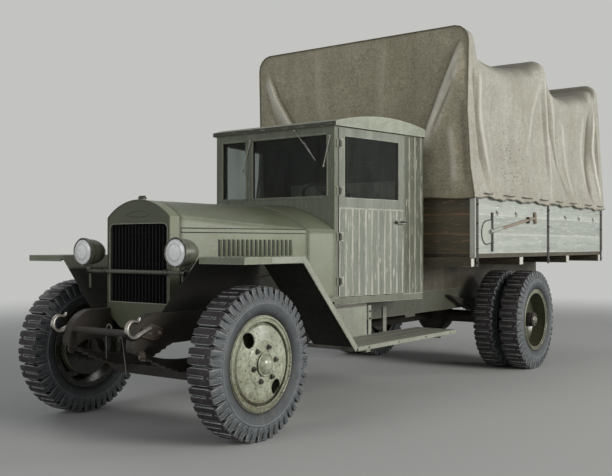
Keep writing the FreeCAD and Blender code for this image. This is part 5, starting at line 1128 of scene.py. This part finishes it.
# folds on the sides, as (y, z) lines: width towards the nose, width towards the tail, height
side_folds = [
        ([(-0.065, 2.62), (-0.033, 2.374), (0.013, 2.11), (0.11, 1.6)], 0.05, 0.028, -0.024),
        ([(0.02, 2.6), (0.05, 2.25), (0.175, 1.62)], 0.03, 0.08, 0.014),
        ([(0.33, 2.5), (0.3, 2.1), (0.36, 1.66)], 0.06, 0.06, -0.006),
        ([(1.39, 2.72), (1.18, 2.4), (1.02, 1.95)], 0.06, 0.04, 0.009),
        ([(1.405, 2.66), (1.425, 2.3), (1.455, 1.66)], 0.04, 0.02, -0.014),
        ([(1.468, 2.84), (1.475, 2.3), (1.5, 1.58)], 0.025, 0.03, 0.013),
        ([(1.525, 2.66), (1.64, 2.42), (1.87, 1.97), (2.1, 1.58)], 0.028, 0.045, -0.024),
        ([(1.6, 2.66), (1.75, 2.38), (1.93, 1.98), (2.07, 1.6)], 0.04, 0.03, 0.012),
        ([(1.8, 2.36), (1.97, 1.92), (2.03, 1.58)], 0.022, 0.04, -0.017),
        ([(1.94, 2.42), (2.11, 1.98), (2.19, 1.6)], 0.03, 0.08, 0.012),
        ([(2.6, 2.56), (2.58, 2.2), (2.62, 1.66)], 0.09, 0.05, 0.01),
        ([(2.857, 2.62), (2.796, 2.223), (2.736, 1.86), (2.75, 1.6)], 0.07, 0.04, -0.034),
        ([(2.97, 2.66), (2.885, 2.16), (2.93, 1.86), (3.0, 1.6)], 0.03, 0.03, 0.026),
        ([(3.0, 2.5), (2.985, 2.1), (3.03, 1.66)], 0.02, 0.018, -0.018),
        ([(-0.02, 2.83), (0.1, 2.62)], 0.03, 0.04, 0.01),
        ([(1.51, 2.86), (1.66, 2.66)], 0.025, 0.04, 0.012),
        ([(2.98, 2.84), (2.86, 2.68)], 0.04, 0.025, 0.012)]
# folds on the end cloth, as (x, z) lines: each corner's flap lies proud of the cloth inside it
left_flap = [(1.0, 2.812), (0.82, 2.412), (0.666, 2.044), (0.6, 1.88)]
right_flap = [(-0.96, 2.74), (-0.859, 2.502), (-0.699, 2.267), (-0.56, 2.07)]
front_folds = [
        (left_flap, 0.004, 0.13, 0.024),
        (left_flap, 0.055, 0.004, -0.016),
        ([(0.985, 2.6), (0.905, 2.38), (0.765, 2.06)], 0.03, 0.025, 0.012),
        ([(0.95, 2.5), (0.885, 2.36), (0.735, 2.06)], 0.018, 0.022, -0.014),
        (right_flap, 0.13, 0.004, 0.026),
        (right_flap, 0.004, 0.05, -0.02),
        ([(-1.0, 2.64), (-0.93, 2.4), (-0.8, 2.15)], 0.03, 0.02, -0.012),
        ([(1.02, 2.35), (1.04, 2.0), (1.06, 1.6)], 0.06, 0.04, -0.014),
        ([(0.9, 2.15), (0.93, 1.85), (0.94, 1.6)], 0.05, 0.07, 0.012),
        ([(-1.02, 2.3), (-1.04, 1.95), (-1.06, 1.6)], 0.04, 0.06, -0.014),
        ([(0.3, 2.86), (0.26, 2.5), (0.27, 2.15)], 0.12, 0.06, 0.006),
        ([(-0.42, 2.86), (-0.4, 2.5), (-0.35, 2.15)], 0.06, 0.12, 0.006)]
drift = Vector((3.7, 1.9, 8.2))


def corner_in(y, z):
    """How far the sides turn in beside the end cloth: the lower the more, though less again at the hem."""
    near = max(0.0, min(1.0, (0.115 - y) / 0.284))
    low = min(1.0, max(0.0, (2.78 - z) / 0.55)) * min(1.0, 0.45 + (z - hem) / 0.45)
    return 0.044 * near ** 1.6 * low


def outline_at(share, y, sag):
    """The cover's section at y, from its left hem over the roof to its right hem, and which way it faces."""
    radius = hoop_round + 0.1 * sag
    crest = top - 0.173 * sag
    flat, centre = shoulder - radius, crest - radius
    slant = math.hypot(hem_half - shoulder, centre - hem)
    turn = radius * math.pi / 2
    whole = 2 * (slant + turn + flat)
    run, sign = share * whole, 1.0
    if run > whole / 2:
        run, sign = whole - run, -1.0
    if run < slant:
        rise = run / slant
        x, z, out = hem_half + (shoulder - hem_half) * rise, hem + (centre - hem) * rise, (1, 0.05)
        x -= 0.045 * sag * math.sin(math.pi * rise)
        x -= corner_in(y, z)
    elif run < slant + turn:
        angle = (run - slant) / radius
        x, z = flat + radius * math.cos(angle), centre + radius * math.sin(angle)
        out = (math.cos(angle), math.sin(angle))
    else:
        x, z, out = flat - (run - slant - turn), crest, (0, 1)
        z -= 0.035 * sag * (1 - (x / flat) ** 2)
    return Vector((sign * x, y, z)), Vector((sign * out[0], 0, out[1]))


def hem_wave(y):
    """How far the hem of a side waves out and up."""
    return 0.006 * math.sin(y * 9.0), 0.009 * math.sin(y * 12.5 + 1.0) + 0.006 * math.sin(y * 31.0)


def cloth(name, columns, rows, place_at):
    """A grid of cloth shaped point by point, that keeps its shade from folds, then given its thickness."""
    bpy.ops.object.select_all(action="DESELECT")
    bpy.ops.mesh.primitive_grid_add(x_subdivisions=columns, y_subdivisions=rows, size=2)
    sheet = bpy.context.object
    shade = sheet.data.attributes.new("crease_shade", "FLOAT", "POINT")
    for point, value in zip(sheet.data.vertices, shade.data):
        point.co, value.value = place_at((point.co.x + 1) / 2, (point.co.y + 1) / 2)
    opened(sheet)
    bpy.ops.mesh.normals_make_consistent(inside=False)
    named(sheet, name)
    # its thickness is laid on its inner side
    wall = sheet.modifiers.new("thickness", "SOLIDIFY")
    wall.thickness, wall.offset = 0.003, -1
    bpy.ops.object.modifier_apply(modifier="thickness")
    return sheet


def roof_and_sides(share, along):
    """A point of the wide sheet."""
    y = front_y + (rear_y - front_y) * along
    sag = between(sags, y)
    place, out = outline_at(share, y, sag)
    height = (place.z - hem) / (top - hem)
    lift, tone = creased(y, place.z, side_folds) if height < 0.96 else (0.0, 0.0)
    loose = min(1.0, sag * 2.5)
    billow = noise.noise(place * 1.9 + drift) * 0.014 + noise.noise(place * 5.5 + drift) * 0.006
    billow += noise.noise(Vector((place.x * 14, place.y * 14, place.z * 4)) + drift) * 0.0022
    sewn = min(1.0, (y - front_y) / 0.05)
    held = min(1.0, height * 11)
    lift = (lift * (0.35 + 0.65 * held) + billow * (0.3 + 0.7 * loose) * held - 0.004) * sewn
    place += out * lift
    if height < 0.05:
        outward, upward = hem_wave(y)
        place.x += (1 if place.x > 0 else -1) * (outward + 0.004 * math.sin(y * 23.0)) * (1 - height * 20)
        place.z += upward * (1 - height * 20)
    return place, tone * sewn


def end_cloth(across, down):
    """A point of the front panel: its upper rows follow the hoop's corner."""
    bend_rows = 0.12
    if down < bend_rows:
        angle = math.pi / 2 * (1 - down / bend_rows)
        half = shoulder - hoop_round + hoop_round * math.cos(angle)
        z = top - hoop_round + hoop_round * math.sin(angle)
    else:
        z = top - hoop_round - (top - hoop_round - hem) * (down - bend_rows) / (1 - bend_rows)
        half = hem_half + (shoulder - hem_half) * (z - hem) / (top - hoop_round - hem) - corner_in(front_y, z)
    x = half * (1 - 2 * across)
    lift, tone = creased(x, z, front_folds)
    billow = noise.noise(Vector((x, 0, z)) * 2.1 + drift) * 0.01 + noise.noise(Vector((x, 0, z)) * 7
            + drift) * 0.004
    edge = min(half - abs(x), top - z)
    sewn = min(1.0, edge / 0.06)
    held = min(1.0, (z - hem) / 0.1)
    y = front_y + 0.002 - (lift * (0.4 + 0.6 * held) + billow * held + 0.004) * sewn
    if z < hem + 0.06:
        z += (0.008 * math.sin(x * 11.0) + 0.005 * math.sin(x * 29.0)) * (1 - (z - hem) / 0.06)
    return Vector((x, max(y, -0.205), z)), tone * sewn


cover = cloth("canvas_cover", 232, 188, roof_and_sides)
front = cloth("canvas_end_cloth", 168, 112, end_cloth)


def canvas_cloth(name, fresh, bleached, stain, dirt, run_share, facing_cloth_shade=0.0, grain=0.34):
    """Sun-bleached proofed canvas. The weave is drawn at 5 mm, as the real 1 mm does not show."""
    material, tree = blank_material(name)
    place = add(tree, "TexCoord").outputs["Object"]
    wide = blotches(tree, place, 620, 0.36, 0.64, detail=6.0, roughness=0.62)
    runs = blotches(tree, place, 170, 0.42, 0.66, detail=6.0, squeeze=(1, 1, 0.25))
    mottle = blotches(tree, place, 52, 0.38, 0.66, detail=6.0, roughness=0.75)
    fine = blotches(tree, place, 17, 0.4, 0.68, detail=5.0, roughness=0.7)
    # painted shade: cloth that looks ahead or up is darker
    _, nose, up = add(tree, "SeparateXYZ", [add(tree, "TexCoord").outputs["Normal"]]).outputs
    ahead = add(tree, "MapRange", [nose, -0.25, -0.8, 0.0, facing_cloth_shade])
    above = add(tree, "MapRange", [up, 0.45, 0.9, 0.0, facing_cloth_shade])
    facing_cloth_shade_mask = add(tree, "Math.MAXIMUM", [ahead, above])
    # folds: painted shade in the hollows, painted highlight along the ridges
    shade = add(tree, "Attribute", attribute_name="crease_shade").outputs["Fac"]
    hollow_shade = add(tree, "MapRange", [shade, 0.1, 1.1, 0.0, 0.72])
    ridge_highlight = add(tree, "MapRange", [shade, -0.1, -1.0, 0.0, 0.6])
    # a burst of mildew specks on the left side, and scattered ones elsewhere
    spot = add(tree, "Mapping", {"Vector": place, "Location": (-1.1, -0.72, -1.93), "Scale": (0.6, 1.0, 1.0)})
    near = add(tree, "VectorMath.LENGTH", [spot]).outputs["Value"]
    near = add(tree, "MapRange", [near, 0.62, 0.52])
    flecks = blotches(tree, place, 20, 0.6, 0.64, detail=3.0, squeeze=(1, 0.6, 1))
    sparse = blotches(tree, place, 26, 0.7, 0.73, detail=4.0, squeeze=(1, 0.6, 1))
    flecks = add(tree, "Math.MULTIPLY", [flecks, near])
    flecks = add(tree, "Math.MAXIMUM", [flecks, sparse])
    height = add(tree, "SeparateXYZ", [place]).outputs["Z"]
    grime = add(tree, "MapRange", [height, 1.72, 1.53])
    base = coated(tree, fresh, (bleached, wide), (stain, runs, run_share), (stain, mottle, 0.42),
            (dirt, fine, grain), (dirt, facing_cloth_shade_mask), (dirt, hollow_shade), ("#dbd9cf", ridge_highlight),
            ("#3d392d", flecks, 0.75), (stain, grime, mottle, 0.8))
    weave = add(tree, "TexWave", {"Vector": place, "Scale": 60.0, "Distortion": 0.6},
            bands_direction="DIAGONAL").outputs[1]
    nap = add(tree, "TexNoise", {"Vector": place, "Scale": 70.0, "Detail": 6.0})
    rumple = add(tree, "Math.MULTIPLY", [weave, nap])
    surfaced(tree, base, 0.9, rumple, 0.35, 0.003, Sheen_Weight=0.08, Sheen_Roughness=0.5)
    return material


# The sides have bleached to a pale buff grey, with painted shade on cloth that looks ahead or up.
side_canvas = canvas_cloth("Sun-bleached side canvas", "#a3a297", "#b8b7ac", "#868273", "#5a5546", 0.35,
        facing_cloth_shade=0.75, grain=0.4)
# the end cloth gets the road's dirt and less sun
end_canvas = canvas_cloth("Weathered end canvas", "#ada68f", "#c0baa4", "#8d856e", "#4a4435",
        0.45, grain=0.55)
settled(cover, side_canvas, "chassis", 70)
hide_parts("cargo_cover")
settled(front, end_canvas, "chassis", 70)
# the sewn edge round the end cloth, the hem's rolled edge, dark for the painted shade under the hem,
# and the lashing line's outer stitches
edge_points = [outline_at(step / 96, front_y, 0.0)[0] + Vector((0, -0.004, 0)) for step in range(97)]
hems = [wire("seam", edge_points, 0.0055)]
# a stitch as (part of its reach, x, z), and where along a side each lies and how far it reaches
stitch = ((-0.5, 1.136, 1.569), (-0.46, 1.1475, 1.571), (0.0, 1.1495, 1.566), (0.46, 1.1475, 1.571),
        (0.5, 1.136, 1.569))
runs = ((0.055, 0.15), (0.475, 0.21), (0.875, 0.24), (1.28, 0.19), (1.69, 0.17), (2.09, 0.19),
        (2.55, 0.2), (2.94, 0.18))
stitches = []
for way in (1, -1):
    low_edge = []
    for step in range(91):
        y = front_y + (rear_y - front_y) * step / 90
        outward, upward = hem_wave(y)
        low_edge.append((way * (hem_half - corner_in(y, hem) + 0.001 + outward), y, hem + upward))
    hems.append(wire("hem", low_edge, 0.0048))
    for y, reach in runs:
        line = [(way * x, y + reach * part, z) for part, x, z in stitch]
        stitches.append(wire("stitch", line, 0.0042))
front_edge = [1.12 - 2.24 * step / 60 for step in range(61)]
hems.append(wire("hem", [(x, front_y - 0.003, hem + 0.008 * math.sin(x * 11.0)) for x in front_edge], 0.0048))
# The hem and the seams, darker with the grease of hands, and along the hem with painted shade.
edging = canvas_cloth("Rolled canvas edging", "#6f6a5a", "#837d6c", "#5a5444", "#3c372b", 0.45)
# Hemp line, tarred against rot.
tarred_line = enamel("Tarred lashing line", "#3a342a", "#4f483b", "#8a8272", "#5c5143", wear=0.4,
        soil=0.1, gloss=0.75)
settled(joined("canvas_edging", hems), edging, "chassis", 60)
settled(joined("lashing_stitches", stitches), tarred_line, "chassis", 60)

# ---- Spade -------------------------------------------------------------------
# A soldier's spade strapped to the side: a half-round pressed blade with a
# rolled socket, an ash shaft and a turned knob.
spade_plane = Matrix.Translation((1.1173, 0.045, 1.252)) @ Matrix.Rotation(math.radians(8), 4, "X")
arc = [(0.0, 0.012 - 0.095 * math.sin(math.radians(a)), 0.095 * math.cos(math.radians(a)))
        for a in range(0, 181, 15)]
blade = raised("blade", [(0.0, 0.15, 0.085), (0.0, 0.143, 0.095)] + arc
        + [(0.0, 0.143, -0.095), (0.0, 0.15, -0.085)], [((0.0035, 0, 0), (1, 1, 1))], edge=0.001)
socket = rod("socket", (0.012, 0.07, 0), (0.013, 0.3, 0), 0.0145, 16, 0.002)
tongue = raised("tongue", [(0.002, 0.1, 0.028), (0.002, 0.045, 0.0), (0.002, 0.1, -0.028),
        (0.002, 0.18, -0.012), (0.002, 0.18, 0.012)], [((0.006, 0, 0), (1, 0.9, 0.8))], edge=0.001)
rivets = [nut("rivet", (0.026, y, 0), (1, 0, 0), 0.008, 0.002) for y in (0.2, 0.275)]
shaft = rod("shaft", (0.013, 0.29, 0), (0.013, 1.045, 0), 0.0125, 16, 0.002)
knob = spun("knob", [(-0.052, 0.0), (-0.052, 0.011), (-0.046, 0.0155), (-0.02, 0.0165), (0.0, 0.0155),
        (0.02, 0.0165), (0.046, 0.0155), (0.052, 0.011), (0.052, 0.0)], 20)
knob.data.transform(Matrix.Translation((0.013, 1.05, 0)) @ Matrix.Rotation(math.pi / 2, 4, "Y"))
steel = joined("spade_blade", [blade, socket, tongue] + rivets)
wood = joined("spade_shaft", [shaft, knob])
for piece in (steel, wood):
    piece.data.transform(spade_plane)
# Grey paint on the blade, worn to steel at its edge, and a shaft brown from hands.
spade_steel = enamel("Painted spade steel", "#8f958c", "#a3a79c", "#4a443a", "#5c5143", wear=1.0, soil=0.2,
        gloss=0.38, metal=0.1, grit=0.3)
spade_ash = boarding("Handled ash", "#7d6f60", "#968877", "#b8a995", "#3a3026", 1, (0, 0, 1), 3.0, 0.0,
        wear=0.3, streaks=0.5, joint=0.0)
settled(steel, spade_steel, "chassis", 40)
settled(wood, spade_ash, "chassis", 50)
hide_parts("shovel")
blade_edge = [spade_plane @ Vector(point) for point in [(0, 0.143, 0.095)] + arc + [(0, 0.143, -0.095)]]
rim = wire("rim", [(1.121, point.y, point.z) for point in blade_edge], 0.0042)
straps = [
        slab("strap", (1.1172, 0.15, 1.1), (1.13, 0.172, 1.42), 0.0012),
        slab("strap", (1.1172, 0.908, 1.345), (1.144, 0.924, 1.403), 0.0012),
        rim]
settled(joined("spade_straps", straps), black_iron, "chassis", 35)
